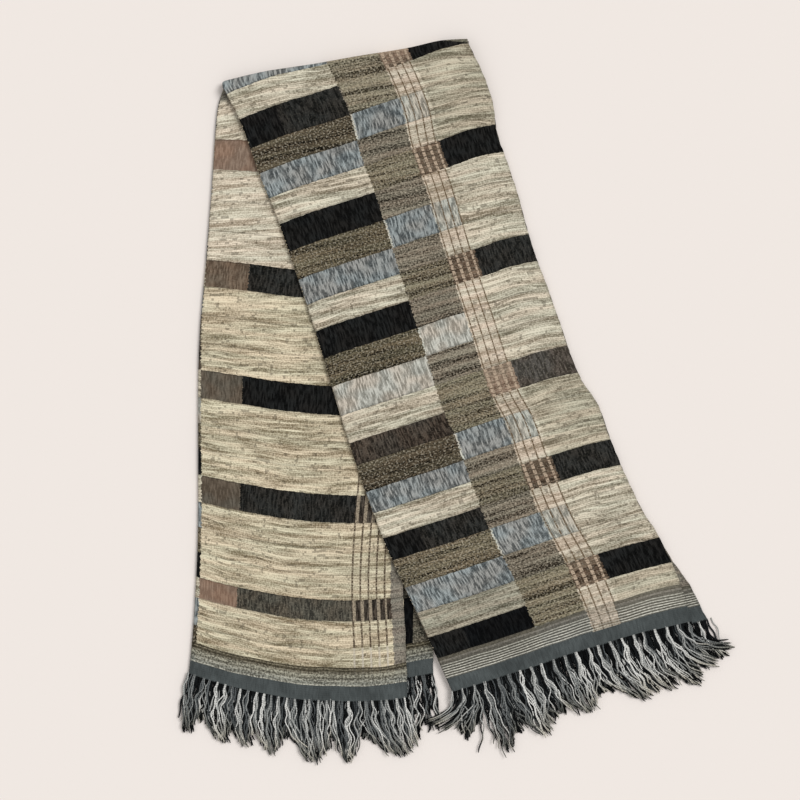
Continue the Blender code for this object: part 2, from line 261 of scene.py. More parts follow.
# Where the upper leg comes down onto the floor, past the lower one's selvedge.
BRIDGE, SLOPE = 8 * MM, 62 * MM
QUARTER_TURN = FOLD_RADIUS * math.pi / 2
WIDEST_REACH = FOLD_RADIUS + HALF_WIDTH - QUARTER_TURN
print("a leg is", round((2 * THICKNESS + CLEARANCE) / MM, 1), "mm high where it lies flat, and the lengthwise fold",
      round((2 * FOLD_RADIUS + THICKNESS) / MM, 1), "mm")

# %% [markdown]
# With these numbers, a point of the cloth's middle follows from two others: how far it is along the weft from the
# lengthwise fold, and how far down its leg.

# %% From weft and warp to a place in space
def ease(value, low, high):
    t = np.clip((value - low) / (high - low), 0, 1)
    return t * t * (3 - 2 * t)


def across_fold(u):
    """u runs along the weft from the lengthwise fold. Gives the reach in from the fold, and the angle turned."""
    u = np.abs(u)
    turn = np.minimum(u / FOLD_RADIUS, math.pi / 2)
    return np.where(u < QUARTER_TURN, FOLD_RADIUS * (1 - np.cos(turn)), FOLD_RADIUS + u - QUARTER_TURN), turn


def swell(place):
    return SWELL * sum(share * (1 + np.sin(a * place[..., 0] + b * place[..., 1] + phase))
                       for a, b, phase, share in SWELL_WAVES)


def half_gap(reach, place):
    """Half the height between the middles of a leg's two layers."""
    flat = (THICKNESS + CLEARANCE) / 2 + swell(place)
    return flat + (FOLD_RADIUS - flat) * np.exp(-np.maximum(reach, 0) / FOLD_REACH)


def support(place, from_crease):
    """The height of what the upper leg lies on."""
    edge = to_metres([CREASE_POINTS[-1], *LOWER_FRONT_SELVEDGE])[::-1]
    past = place[..., 0] - np.interp(place[..., 1], edge[:, 1], edge[:, 0])
    cover = 1 - ease(past, BRIDGE, BRIDGE + SLOPE)
    lower_leg = 2 * THICKNESS + CLEARANCE + 2 * swell(place)
    return cover * (lower_leg + CLEARANCE / 2 + CROSS_FOLD_LIFT * np.exp(-from_crease / CROSS_FOLD_REACH))


def leg_point(leg, u, down):
    """Points of the cloth's middle on one leg. u is below 0 on the front layer."""
    u, down = np.broadcast_arrays(u, down)
    reach, turn = across_fold(u)
    across = reach / WIDEST_REACH
    side = np.where(u < 0, -1, 1)
    front = (u < 0)[..., None]
    place = np.where(front, leg["front"].place(across, down), leg["back"].place(across, down))
    length = np.where(u < 0, leg["front"].length(across), leg["back"].length(across))
    half = np.where(turn < math.pi / 2, FOLD_RADIUS, half_gap(reach - FOLD_RADIUS, place))
    if leg is UPPER:
        height = support(place, down * length) + half * (1 - side * np.sin(turn))
    else:
        height = half * (1 + side * np.sin(turn))
    return np.concatenate([place, (THICKNESS / 2 + height)[..., None]], axis=-1)


def bend_point(u, turned):
    """Points in the cross fold, from the upper leg at 0 to the lower one at pi."""
    u, turned = np.broadcast_arrays(u, turned)
    top, bottom = leg_point(UPPER, u, 0.0), leg_point(LOWER, u, 0.0)
    radius = (top[..., 2] - bottom[..., 2]) / 2
    place = top[..., :2] + FOLD_OUT * (radius * np.sin(turned))[..., None]
    middle = (top[..., 2] + bottom[..., 2]) / 2
    return np.concatenate([place, (middle + radius * np.cos(turned))[..., None]], axis=-1)


print("the upper leg's fold ends at", leg_point(UPPER, 0.0, 1.0).round(3))

# %% [markdown]
# ## The weaver's count
#
# A weaver thinks in rows along the warp and in columns across it, so the cloth gets its own coordinates beside
# metres. The count along the warp goes up by one at each change of weft: it is 0 where the first black row starts,
# above the hem of the upper leg. The rows repeat by fours. The rows lie a few millimetres off square, as they do
# in any cloth that has been washed and folded, and the columns drift a little too.

# %% Rows and columns of the weave
# Where each row starts, in millimetres from the upper leg's end along the lengthwise fold.
UPPER_ROWS = [51, 83, 121, 160, 202, 235, 273, 304, 344, 376, 416, 459, 500, 540, 579, 616, 657, 698, 737, 774,
              811, 855, 894]
# Where the dark bars of the lower leg start and stop, as (row, millimetres from that leg's end).
LOWER_ROWS = [(44.8, 0), (42, 108), (41, 136), (38, 241), (37, 279), (34, 387), (33, 426), (30, 543), (29, 580),
              (26, 707), (25, 749), (22.8, 870)]
ROW_HEIGHT = 38.5
WARP_LENGTH = 1.76
# Metres of warp from the upper leg's end to the cross fold, and on each side of it that go into the bend.
CROSS_FOLD_AT = 0.90
BEND_SHARE = 0.01
# How far a row rises towards the selvedge: in millimetres, and for each millimetre from the end.
ROW_SLANT = (3.0, 0.015)
# The lower leg's front layer ends in a few extra stripes, charted past -1, whose taupe is darkened as painted
# shade, and its fold lies a little off the middle of the cloth, so that the front's first column shows as a line
# along the edge.
INNER_SELVEDGE = ([0, 0.855, 0.871, 0.911, 1.0], [0, 0.855, 1.05, 1.42, 1.9])
FOLD_OFFSET = 0.011
# How far the columns have drifted, as shares of the half width: on the upper leg's front, most at its two ends and
# by this much at this share of the way across, and on the lower leg's back at these metres from its end.
UPPER_DRIFT = 0.03
UPPER_LENGTH = 0.905
UPPER_DRIFT_ACROSS = ([0, 0.3, 0.65, 0.76, 1], [0, 1, 1, 0.35, 0])
LOWER_DRIFT = ([0, 0.25, 0.4, 0.57], [-0.007, -0.003, 0.001, 0.010])
LOWER_SELVEDGE_DRIFT = ([0, 0.125, 0.25], [0.003, 0.007, 0.014])
# Where across the lower leg the drift at its selvedge sets in, and where the offset at the fold fades.
DRIFT_ACROSS, OFFSET_FADE = (0.45, 0.75), (0.03, 0.12)
print(len(UPPER_ROWS), "rows on the upper leg,", len(LOWER_ROWS) // 2, "dark bars on the lower one")


# %% From weft and warp to the weaver's count
def slanted(distance, across):
    """Millimetres from a leg's end as the rows count them, which rise towards the selvedge."""
    distance = distance / MM
    return distance - across * (ROW_SLANT[0] + ROW_SLANT[1] * distance)


def upper_row(distance):
    knots = [UPPER_ROWS[0] - 2 * ROW_HEIGHT, *UPPER_ROWS, UPPER_ROWS[-1] + ROW_HEIGHT]
    return np.interp(distance, knots, [-2, *range(len(UPPER_ROWS)), len(UPPER_ROWS)])


def lower_row(distance):
    rows, places = zip(*LOWER_ROWS)
    return np.interp(distance, places, rows)


def column_drift(across, distance, leg, front):
    """How far the columns have drifted, as a share of the half width, at this distance from the leg's end."""
    if leg is UPPER:
        drift = (0.5 - distance / UPPER_LENGTH) * UPPER_DRIFT * np.interp(across, *UPPER_DRIFT_ACROSS)
        return np.where(front, drift, 0)
    near_selvedge = np.interp(distance, *LOWER_SELVEDGE_DRIFT) * ease(across, *DRIFT_ACROSS)
    return np.where(front, 0, np.interp(distance, *LOWER_DRIFT) + near_selvedge)


def leg_chart(leg, u, down):
    """(column, row, metres along the warp) on one leg. The column is -1 and 1 at the selvedges."""
    u, down = np.broadcast_arrays(u, down)
    reach, _ = across_fold(u)
    across = reach / WIDEST_REACH
    length = np.where(u < 0, leg["front"].length(across), leg["back"].length(across))
    distance = (1 - down) * length
    counted = slanted(distance, across)
    row = upper_row(counted) if leg is UPPER else lower_row(counted)
    column = np.sign(u) * (across + column_drift(across, distance, leg, u < 0))
    if leg is LOWER:
        column = np.where(u < 0, -np.interp(-column, *INNER_SELVEDGE), column)
        column = column - FOLD_OFFSET * (1 - ease(np.abs(column), *OFFSET_FADE))
    half_length = CROSS_FOLD_AT - BEND_SHARE if leg is UPPER else WARP_LENGTH - CROSS_FOLD_AT - BEND_SHARE
    warp = counted * MM + (half_length - slanted(length, across) * MM) * (1 - down) ** 2
    return column, row, warp if leg is UPPER else WARP_LENGTH - warp


# %% [markdown]
# ## The sheet
#
# The cloth is one grid of about 5 mm squares, from the upper leg's end over the cross fold to the lower leg's end.
# It is a closed skin, 1.6 mm thick like the solid, with a round rim at its selvedges and ends. A cloth simulation
# would lose the exact folds, so the small unevenness is given one by one: long shallow troughs, a ripple along the
# warp where rows of thick and fine weft pull differently, and selvedges that draw in and out.

# %% Small unevenness of a handled cloth
# Each trough is (radians a metre along u, along the warp, phase, height in millimetres), and each wave of the
# selvedges (radians a metre along the warp, phase, width in millimetres).
TROUGHS = [(31, 9, 0.3, 0.22), (-14, 47, 1.7, 0.20), (67, 38, 4.1, 0.12), (-52, 96, 2.6, 0.12),
           (18, 163, 0.9, 0.10)]
SELVEDGE_WAVES = [(41, 0.4, 0.4), (97, 2.2, 0.4), (236, 1.1, 0.35), (611, 5.0, 0.2)]
SELVEDGE_DEPTH = 30 * MM
SELVEDGE_DRAWN = 1.0 * MM
# The heights, in millimetres, of the ripple at every row and of the finer one at every half row.
ROW_RIPPLE, HALF_ROW_RIPPLE = 0.14, 0.07
print("troughs and ridges of up to", round(sum(high for *_, high in TROUGHS), 2), "mm")


def unevenness(u, warp, row):
    """How far the cloth's middle leaves the smooth layer, in metres."""
    waves = sum(high * np.sin(a * u + b * warp + phase) for a, b, phase, high in TROUGHS)
    rows = (ROW_RIPPLE * np.cos(2 * math.pi * row)
            + HALF_ROW_RIPPLE * np.cos(4 * math.pi * row + 3 * np.sin(21 * u)))
    return (waves + rows) * MM


def drawn_in(u, warp):
    """u with the selvedges drawn in and out a little."""
    near = np.clip(1 - (HALF_WIDTH - np.abs(u)) / SELVEDGE_DEPTH, 0, 1) ** 2
    wave = sum(wide * np.sin(a * warp + phase + np.sign(u)) for a, phase, wide in SELVEDGE_WAVES) * MM
    return u + np.sign(u) * near * (wave - SELVEDGE_DRAWN)


# %% Columns and rows of the grid
FLAT_COLUMNS, FOLD_COLUMNS, LEG_STEPS, BEND_STEPS = 64, 10, 140, 14

flat_side = QUARTER_TURN + (HALF_WIDTH - QUARTER_TURN) * np.linspace(0, 1, FLAT_COLUMNS + 1)[1:]
fold_turn = QUARTER_TURN * np.linspace(-1, 1, FOLD_COLUMNS + 1)
U = np.concatenate([-flat_side[::-1], fold_turn, flat_side])
leg_steps = np.linspace(0, 1, LEG_STEPS + 1)[:, None]
bend_steps = np.linspace(0, math.pi, BEND_STEPS + 1)[1:-1, None]


def bend_chart(u, turned):
    """(column, row, metres along the warp) between the two legs' first rows."""
    share = turned / math.pi
    ends = [leg_chart(leg, u, 0.0) for leg in (UPPER, LOWER)]
    return [upper * (1 - share) + lower * share for upper, lower in zip(*ends)]


strips = [leg_chart(UPPER, U[None], 1 - leg_steps), bend_chart(U[None], bend_steps),
          leg_chart(LOWER, U[None], leg_steps)]
column, row, warp = (np.concatenate([np.broadcast_to(strip[i], (len(strip[2]), len(U))) for strip in strips])
                     for i in range(3))
first, last = LEG_STEPS + 1, LEG_STEPS + BEND_STEPS
wavy = drawn_in(U[None], warp)
middle = np.concatenate([leg_point(UPPER, wavy[:first], 1 - leg_steps),
                         bend_point(wavy[first:last], bend_steps),
                         leg_point(LOWER, wavy[last:], leg_steps)])
print("cloth grid", middle.shape[:2], "rows", round(row.min(), 1), "to", round(row.max(), 1))

# %% [markdown]
# The unevenness is laid on as height, fading out in the tight turns, where it would only fold the skin. Where the
# cloth lies on the floor, half of it is left, and only upwards. Then the two faces are set half a thickness to each
# side. For that the sheet needs to know which way is out, and on a grid that is the cross product of its two
# directions.

# %% The two faces of the sheet
def grid_normals(points):
    along_u = np.gradient(points, axis=1)
    along_warp = np.gradient(points, axis=0)
    normal = np.cross(along_warp, along_u)
    return normal / np.linalg.norm(normal, axis=-1, keepdims=True)


# The unevenness grows from nothing to all over these arcs from the fold's edge, and grid rows from the cross fold.
FOLD_FADE = (QUARTER_TURN, 6 * QUARTER_TURN)
CREASE_FADE = (10, 20)
# Where the cloth's middle lies lower than this, it rests on the floor.
ON_FLOOR = 1.2 * THICKNESS

fold_fade = ease(np.abs(U)[None], *FOLD_FADE)
crease_fade = ease(np.abs(np.arange(len(row))[:, None] - (first + last) / 2), *CREASE_FADE)
rise = unevenness(U[None], warp, row) * fold_fade * crease_fade
middle[..., 2] += np.where(middle[..., 2] < ON_FLOOR, np.abs(rise) / 2, rise)
normal = grid_normals(middle)
outside = middle + normal * THICKNESS / 2
inside = middle - normal * THICKNESS / 2
outside[..., 2] = np.maximum(outside[..., 2], 0)
inside[..., 2] = np.maximum(inside[..., 2], 0)
print("the face of the cloth looks", "up" if normal[20, 20, 2] > 0 else "down", "on the upper leg")

# %% [markdown]
# The mesh keeps three maps. One holds metres along weft and warp, for anything with a real size, such as threads.
# One holds the weaver's count. The third lays the two faces side by side without overlap, so that the finish can
# be baked to an image for other programs.

# %% Build a mesh with its maps
def mesh_object(name, points, faces, maps, finish):
    """An object of the faces, with each map given as one (x, y) for each corner of each face."""
    data = bpy.data.meshes.new(name)
    data.from_pydata(points.tolist(), [], faces)
    for map_name, corners in maps.items():
        data.uv_layers.new(name=map_name).uv.foreach_set("vector", np.asarray(corners, np.float32).ravel())
    data.materials.append(finish)
    data.shade_smooth()
    made = bpy.data.objects.new(name, data)
    bpy.context.scene.collection.objects.link(made)
    return made


def grid_faces(rows, columns, start, flipped):
    corner = start + np.arange((rows - 1) * columns).reshape(rows - 1, columns)[:, :-1]
    quads = np.stack([corner, corner + columns, corner + columns + 1, corner + 1], axis=-1).reshape(-1, 4)
    return quads[:, ::-1] if flipped else quads


# %% The closed skin of the cloth
# How round the rim of the skin is, as a share of its thickness, and the least height of the rim.
RIM = 0.35
RIM_HEIGHT = 0.1 * MM
# The bake map: each face fills almost half of the image, and the rim lies in two narrow bands between them.
BAKE_WIDTH, BAKE_HEIGHT, BAKE_MARGIN = 0.48, 0.96, 0.02
BAKE_BANDS, BAKE_BAND_WIDTH = (0.487, 0.501), 0.008


def cloth_object(name, finish):
    """The closed skin: a face on each side of the middle, and a rounded rim between them."""
    rows, columns = middle.shape[:2]
    count = rows * columns
    index = np.arange(count).reshape(rows, columns)
    rim = np.concatenate([index[0, :-1], index[:-1, -1], index[-1, :0:-1], index[:0:-1, 0]])
    flat = middle.reshape(-1, 3)
    ahead = flat[np.roll(rim, -1)] - flat[np.roll(rim, 1)]
    out = np.cross(normal.reshape(-1, 3)[rim], ahead)
    out /= np.linalg.norm(out, axis=1, keepdims=True)
    rounded = flat[rim] - out * THICKNESS * RIM
    rounded[:, 2] = np.maximum(rounded[:, 2], RIM_HEIGHT)
    points = np.concatenate([outside.reshape(-1, 3), inside.reshape(-1, 3), rounded])

    faces_out = grid_faces(rows, columns, 0, True)
    faces_in = grid_faces(rows, columns, count, False)
    ring = 2 * count + np.arange(len(rim))
    following = np.roll(np.arange(len(rim)), -1)
    rim_top = np.stack([rim, rim[following], ring[following], ring], axis=-1)
    rim_low = np.stack([ring, ring[following], count + rim[following], count + rim], axis=-1)
    faces = np.concatenate([faces_out, faces_in, rim_top, rim_low])

    at = np.concatenate([np.arange(count), np.arange(count), rim])
    corners = at[faces]
    weave = np.stack([np.broadcast_to(U, (rows, columns)).ravel()[corners], warp.ravel()[corners]], axis=-1)
    chart = np.stack([column.ravel()[corners], row.ravel()[corners]], axis=-1)
    share_u, share_v = (corners % columns) / (columns - 1), (corners // columns) / (rows - 1)
    bake = np.stack([share_u * BAKE_WIDTH, share_v * BAKE_HEIGHT + BAKE_MARGIN], axis=-1)
    bake[len(faces_out):, :, 0] = 1 - bake[len(faces_out):, :, 0]
    first_rim = len(faces_out) + len(faces_in)
    low = faces[first_rim:] >= 2 * count
    step = np.arange(len(rim))[:, None]
    band = np.concatenate([step + [0, 1, 1, 0], step + [0, 1, 1, 0]]) / len(rim)
    side = np.repeat(BAKE_BANDS, len(rim))[:, None]
    bake[first_rim:] = np.stack([side + low * BAKE_BAND_WIDTH, band], axis=-1)
    return mesh_object(name, points, faces.tolist(), {"weave": weave, "chart": chart, "OFBake": bake}, finish)


# %% [markdown]
# ## The woven finish
#
# The cloth is tapestry-like: blocks of weft in other yarns meet along the columns. Cream is thick, slubby and
# hand-spun, so its weft shows as long uneven streaks. Black and slate blocks are finer, with the warp showing as
# short streaks the other way. Tweed and taupe are flecked. Each yarn gets its dark tone, its light tone, whether
# the streaks follow the warp, and how speckled it is, from 0 for plain streaks to 1 for nothing but flecks.

# %% Yarns
# name: (dark tone, light tone, 1 where the streaks follow the warp, how speckled)
YARNS = {
    "cream": ("776E5C", "E4DBC7", 0, 0.15),
    "grey cream": ("5C574A", "BBB5A3", 0, 0.3),
    "oat": ("7D7059", "E6DABF", 0, 0.15),
    "pale oat": ("918572", "EDE3CF", 0, 0.15),
    "grey oat": ("6E6655", "CFC6B1", 0, 0.15),
    "jet": ("040405", "161718", 1, 0.0),
    "black": ("030303", "252524", 1, 0.0),
    "soft black": ("070807", "373633", 1, 0.05),
    "brown black": ("120E0B", "554C43", 1, 0.1),
    "charcoal": ("262420", "605B50", 1, 0.2),
    "olive charcoal": ("2E2A24", "5D5751", 1, 0.2),
    "slate blue": ("34393B", "A4A8A6", 1, 0.05),
    "stone": ("7A766C", "CFCABE", 1, 0.1),
    "light tweed": ("15110C", "8B806A", 0, 0.65),
    "tweed": ("0F0C08", "7B715C", 0, 0.65),
    "dark tweed": ("0B0906", "695F4E", 0, 0.65),
    "pale taupe": ("2E281E", "A79D87", 0, 0.6),
    "taupe": ("231D14", "968C76", 0, 0.6),
    # Taupe darkened as painted shade, for the lower leg's front layer where it shows past the edge of the layer on
    # it.
    "shaded taupe": ("25231E", "726D60", 0, 0.5),
    "brown taupe": ("241F18", "958B7B", 0, 0.6),
    "grey taupe": ("55504A", "938C80", 0, 0.5),
    "rose": ("776152", "967F6E", 1, 0.05),
    "brown": ("4E4034", "7C6C5C", 1, 0.1),
    "grey brown": ("4A4238", "6C6357", 1, 0.05),
    "pale rose": ("8E7F6C", "E0D3C1", 0, 0.3),
    "rosewood": ("33281F", "7A6858", 0, 0.3),
    "pale rosewood": ("5A4A3D", "A38E7C", 0, 0.3),
    "pale slate": ("6E6D65", "CCC8BB", 1, 0.3),
    "bleached": ("A09E93", "D9D7CC", 0, 0.4),
}
print(len(YARNS), "yarns")

# %% [markdown]
# The draft says which yarn each column takes in each of its four rows, from the front selvedge to the back one.
# A weaver changes yarn when a cone runs out, so a few blocks differ from the repeat, and they are listed by the
# number of their row. Two of them are painted shade instead: the grey taupe of rows 22 and 23 in the column at the
# lengthwise fold, at the corner of the cross fold.

# %% The draft
# (where the column starts, its four yarns, {row: the yarn of a block that differs})
TWEEDS = {3: "light tweed", 7: "dark tweed", 19: "dark tweed"}
NEAR_FOLD = {number: "pale oat" for number in (22, 23, 24, 26, 27, 28)}
DRAFT = [
    (-2.2, ("bleached",) * 4, {}),
    # Taupe darkened as painted shade, at the edge of the lower leg's front layer.
    (-1.93, ("shaded taupe",) * 4, {}),
    (-1.42, ("shaded taupe", "shaded taupe", "jet", "jet"), {}),
    (-1.05, ("cream", "black", "cream", "cream"),
     {0: "grey oat", 5: "soft black", 6: "grey oat", 7: "grey oat", 8: "grey oat", 9: "olive charcoal",
      13: "soft black", 17: "black", 18: "grey oat", 19: "grey oat", 20: "grey oat"}),
    (-0.750, ("cream", "rosewood", "cream", "cream"), {21: "pale rosewood", 9: "pale rosewood"}),
    (-0.733, ("pale rose", "rosewood", "pale rose", "pale slate"),
     {21: "pale rosewood", 9: "pale rosewood", 11: "pale rose", 23: "pale rose"}),
    (-0.624, ("brown taupe", "taupe", "brown taupe", "slate blue"),
     {11: "stone", 0: "taupe", 8: "taupe", 20: "pale taupe", 21: "pale taupe", 22: "pale taupe"}),
    (-0.4215, ("brown taupe", "taupe", "brown taupe", "bleached"), {11: "bleached", 0: "taupe", 8: "taupe"}),
    (-0.415, ("black", "cream", "slate blue", "tweed"),
     {**TWEEDS, 0: "jet", 1: "grey cream", 8: "brown black", 10: "stone", 20: "soft black", 4: "soft black"}),
    (-0.146, ("black", "cream", "slate blue", "tweed"), {**TWEEDS, 1: "grey cream", 8: "brown black", 10: "stone"}),
    # Rows 22 and 23 of this column are grey taupe as painted shade at the corner of the cross fold.
    (0.0, ("oat", "brown", "oat", "oat"),
     {**NEAR_FOLD, 22: "grey taupe", 23: "grey taupe", 25: "rose", 33: "grey brown", 37: "grey brown", 41: "rose"}),
    (0.1964, ("oat", "soft black", "oat", "oat"), {**NEAR_FOLD, 33: "black", 41: "charcoal"}),
    (0.751, ("oat", "brown black", "oat", "oat"), {}),
    (0.9405, ("grey taupe",) * 4, {}),
]
REPEAT_BLOCKS = 24


def block_yarns(four, exceptions):
    """The yarn of each block of one column, over the rows after which the chart starts again."""
    wrapped = {number % REPEAT_BLOCKS: yarn for number, yarn in exceptions.items()}
    return [wrapped.get(number, four[number % 4]) for number in range(REPEAT_BLOCKS)]


print("columns start at", [round(start * HALF_WIDTH / MM) for start, _, _ in DRAFT], "mm")

# %% [markdown]
# The material is handwoven wool and cotton, washed once. Its fibres scatter light every way, so it is matt, with
# next to no gloss or sheen, and all that the eye gets from it is the tone of the yarns and their small relief. Each
# pick of weft and each end of warp gets a number, and wanders a little from its place. Real picks lie some 1.4 mm
# apart and real ends 1 mm, about one pixel of the picture, so both are drawn twice as coarse.

# %% The material, its picks and its ends
PICK = 2.8 * MM
END = 2.0 * MM
# Patches of yarn, dye and wear. name: (millimetres along the weft, along the warp, finer levels, place in the
# noise, then the noise's low and high end and what those become). The wander of picks and ends is in threads, and
# that of the edges in rows and half widths.
PATCHES = {
    "pick wander": (75, 36, 1.0, 4.4, 0.2, 0.8, -1.2, 1.2),
    "end wander": (30, 40, 1.0, 8.1, 0.2, 0.8, -0.8, 0.8),
    "row edge": (9, 400, 1.0, 7.7, 0.2, 0.8, -0.014, 0.014),
    "column edge": (40, 2.6, 0.0, 12.1, 0.2, 0.8, -0.0035, 0.0035),
    "grit": (3.4, 2.4, 1.0, 9.3, 0.0, 1.0, 0.0, 1.0),
    "speck": (3.4, 2.4, 1.0, 9.3, 0.43, 0.62, 0.0, 1.0),
    "blot": (3.4, 2.4, 1.0, 9.3, 0.34, 0.56, 0.35, 1.0),
    "nub": (2.9, 2.3, 0.0, 15.3, 0.0, 1.0, 0.0, 1.0),
    "fuzz": (2.6, 2.1, 0.0, 5.7, 0.3, 0.7, -0.17, 0.17),
    "weft lot": (420, 9, 2.0, 1.3, 0.3, 0.7, -0.25, 0.25),
    "weft dye": (130, 11, 1.0, 3.3, 0.34, 0.66, 0.0, 1.0),
    "warp dye": (42, 30, 1.0, 21.7, 0.36, 0.64, 0.0, 1.0),
    "hem dye": (42, 30, 1.0, 21.7, 0.3, 0.7, 0.84, 1.16),
    "wear": (90, 70, 1.0, 2.9, 0.3, 0.7, 0.93, 1.05),
}

woven, tree, shader = new_material("handwoven_wool_and_cotton", {
    "Roughness": 0.92, "Specular IOR Level": 0.05, "Sheen Weight": 0.01, "Sheen Roughness": 0.5})
node = partial(add, tree)
weave = node("UVMap", uv_map="weave")
weft_m, warp_m, _ = node("SeparateXYZ", weave).outputs
columns, rows, _ = node("SeparateXYZ", node("UVMap", uv_map="chart")).outputs
patch = {}
for name, (across_mm, along_mm, levels, seed, *ends) in PATCHES.items():
    scaled = node("Mapping", weave, (seed, seed * 1.7, 0), None, (1000 / across_mm, 1000 / along_mm, 1))
    patch[name] = node("MapRange", node("TexNoise", scaled, 1.0, levels, 0.6, noise_dimensions="2D"), *ends)

pick_at = node("Math", warp_m, 1 / PICK, patch["pick wander"], operation="MULTIPLY_ADD")
end_at = node("Math", weft_m, 1 / END, patch["end wander"], operation="MULTIPLY_ADD")
pick, end = (node("Math", at, operation="FLOOR") for at in (pick_at, end_at))
print(round(2 * HALF_WIDTH / END), "ends and", round(WARP_LENGTH / PICK), "picks are drawn")

# %% [markdown]
# A slub is a thick stretch of one pick, and a husk a dark bit of seed coat that was spun into it. Warp shows as
# hatching in the finer blocks. All three are noise that keeps its value over one thread and runs along it, because
# one of its two coordinates is the thread's number.

# %% Slubs, husks and hatching
SLUB_LENGTH, HUSK_LENGTH, HATCH_LENGTH = 60 * MM, 10 * MM, 12.5 * MM
# Threads that lie side by side are this far apart in the noise, so that they don't look alike.
THREAD_STEP, HUSK_STEP = 3.37, 7.43
thread = {}
for name, x, x_scale, y, y_scale, levels in (("slub", weft_m, 1 / SLUB_LENGTH, pick, THREAD_STEP, 3.0),
                                             ("husk", weft_m, 1 / HUSK_LENGTH, pick, HUSK_STEP, 0.0),
                                             ("hatch", end, THREAD_STEP, warp_m, 1 / HATCH_LENGTH, 0.6)):
    place = node("CombineXYZ", node("Math", x, x_scale, operation="MULTIPLY"),
                 node("Math", y, y_scale, operation="MULTIPLY"))
    thread[name] = node("TexNoise", place, 1.0, levels, noise_dimensions="2D")
print("thread patterns:", ", ".join(thread))

# %% [markdown]
# The yarns of a column are steps on a colour ramp, one for each block of its repeat. A ramp carries an alpha next
# to each colour, and that holds whether the streaks follow the warp, or how speckled the yarn is. From one column
# to the next the ramps are swapped where the count across the cloth passes the place where the column starts.

# %% The yarn of every block
def set_stops(ramp, stops):
    """Constant steps at the places, each with its colour and alpha."""
    ramp.color_ramp.interpolation = "CONSTANT"
    elements = ramp.color_ramp.elements
    while len(elements) > 1:
        elements.remove(elements[-1])
    for position, colour in stops:
        element = elements[0] if position == stops[0][0] else elements.new(position)
        element.position, element.color = position, colour


row_at = node("Math", rows, patch["row edge"], operation="ADD")
column_at = node("Math", columns, patch["column edge"], operation="ADD")
whole_row = node("Math", row_at, operation="FLOOR")
block = node("Math", whole_row, REPEAT_BLOCKS, operation="FLOORED_MODULO")
block_middle = node("Math", block, 1 / REPEAT_BLOCKS, 0.5 / REPEAT_BLOCKS, operation="MULTIPLY_ADD")

parts = None
for start, four, exceptions in DRAFT:
    yarns = [YARNS[name] for name in block_yarns(four, exceptions)]
    here = []
    for tone, extra in ((0, 2), (1, 3)):
        colours = [(*linear(yarn[tone])[:3], yarn[extra]) for yarn in yarns]
        stops = [(number / REPEAT_BLOCKS, colour) for number, colour in enumerate(colours)
                 if number == 0 or colour != colours[number - 1]]
        ramp = node("ValToRGB", block_middle)
        set_stops(ramp, stops)
        here += ramp.outputs
    beyond = node("Math", column_at, start, operation="GREATER_THAN")
    parts = here if parts is None else [node("Mix", beyond, before, after, data_type=kind)
                                        for before, after, kind in zip(parts, here, ("RGBA", "FLOAT") * 2)]
dark, along_warp, pale, speckled = parts
print(len(DRAFT), "columns of", REPEAT_BLOCKS, "blocks")

# %% [markdown]
# Every point of the cloth lies somewhere between its yarn's dark and light tone. Streaks count most, then painted
# shade across each thread, darker in the gaps and lighter on its round back, then fuzz and the lot that the weft
# was spun in, some rows of it paler and some darker.
# Hand-dyed wool also drifts between warm and cool. The yarns that follow the warp are smoother, so they get less.

# %% Tone and hue of the yarns
# The tone's share from the streaks, and its share from the painted shade across each thread.
STREAK_SHARE, RIB_SHADE_SHARE = 0.74, 0.26
# The part of the noise over which a streak goes from its yarn's dark tone to its light one.
SLUB_RANGE, HATCH_RANGE = (0.34, 0.66), (0.38, 0.64)
# What the yarns that follow the warp get of the fuzz and the lots, and a plain and a speckled yarn of the lots.
WARP_FUZZ, WARP_LOT, PLAIN_LOT, SPECKLED_LOT = 0.5, 0.2, 0.9, 1.7
WARM_WEFT, COOL_WEFT = (1.035, 0.99, 0.96, 1.0), (0.975, 1.01, 0.99, 1.0)
WARM_WARP, COOL_WARP = (1.04, 0.985, 0.95, 1.0), (0.955, 1.005, 1.03, 1.0)

# Each thread's profile: painted shade in the gaps between threads and painted light on its round back. The bump below
# uses the same rib.
ribs = [node("Math", node("Math", node("Math", at, operation="FRACT"), math.pi, operation="MULTIPLY"),
             operation="SINE") for at in (pick_at, end_at)]
rib_and_painted_shade = node("Mix", along_warp, *ribs)
weft_streak = node("Mix", speckled, node("MapRange", thread["slub"], *SLUB_RANGE), patch["speck"])
streak = node("Mix", along_warp, weft_streak, node("MapRange", thread["hatch"], *HATCH_RANGE))
grain = node("Math", patch["fuzz"], node("Mix", along_warp, 1.0, WARP_FUZZ), operation="MULTIPLY")
lot = node("Math", patch["weft lot"], node("Mix", along_warp, 1.0, WARP_LOT), operation="MULTIPLY")
tone = node("Math", streak, STREAK_SHARE, grain, operation="MULTIPLY_ADD")
tone = node("Math", rib_and_painted_shade, RIB_SHADE_SHARE, tone, operation="MULTIPLY_ADD")
lot_share = node("Mix", speckled, PLAIN_LOT, SPECKLED_LOT)
tone = node("Math", lot, lot_share, tone, operation="MULTIPLY_ADD", use_clamp=True)

colour = node("Mix", tone, dark, pale, data_type="RGBA")
hues = [node("Mix", patch[name], warm, cool, data_type="RGBA")
        for name, warm, cool in (("weft dye", WARM_WEFT, COOL_WEFT), ("warp dye", WARM_WARP, COOL_WARP))]
hue = node("Mix", along_warp, *hues, data_type="RGBA")
colour = node("Mix", 1.0, colour, hue, data_type="RGBA", blend_type="MULTIPLY")
print("tones from", STREAK_SHARE, "streak and", RIB_SHADE_SHARE, "rib_and_painted_shade")

# %% [markdown]
# Then come the small things that a hand feels: pale nubs in the flecked yarns and husks in the plain weft. At
# each change of row a thin dark line is painted shade, for the small step where one row meets the next.

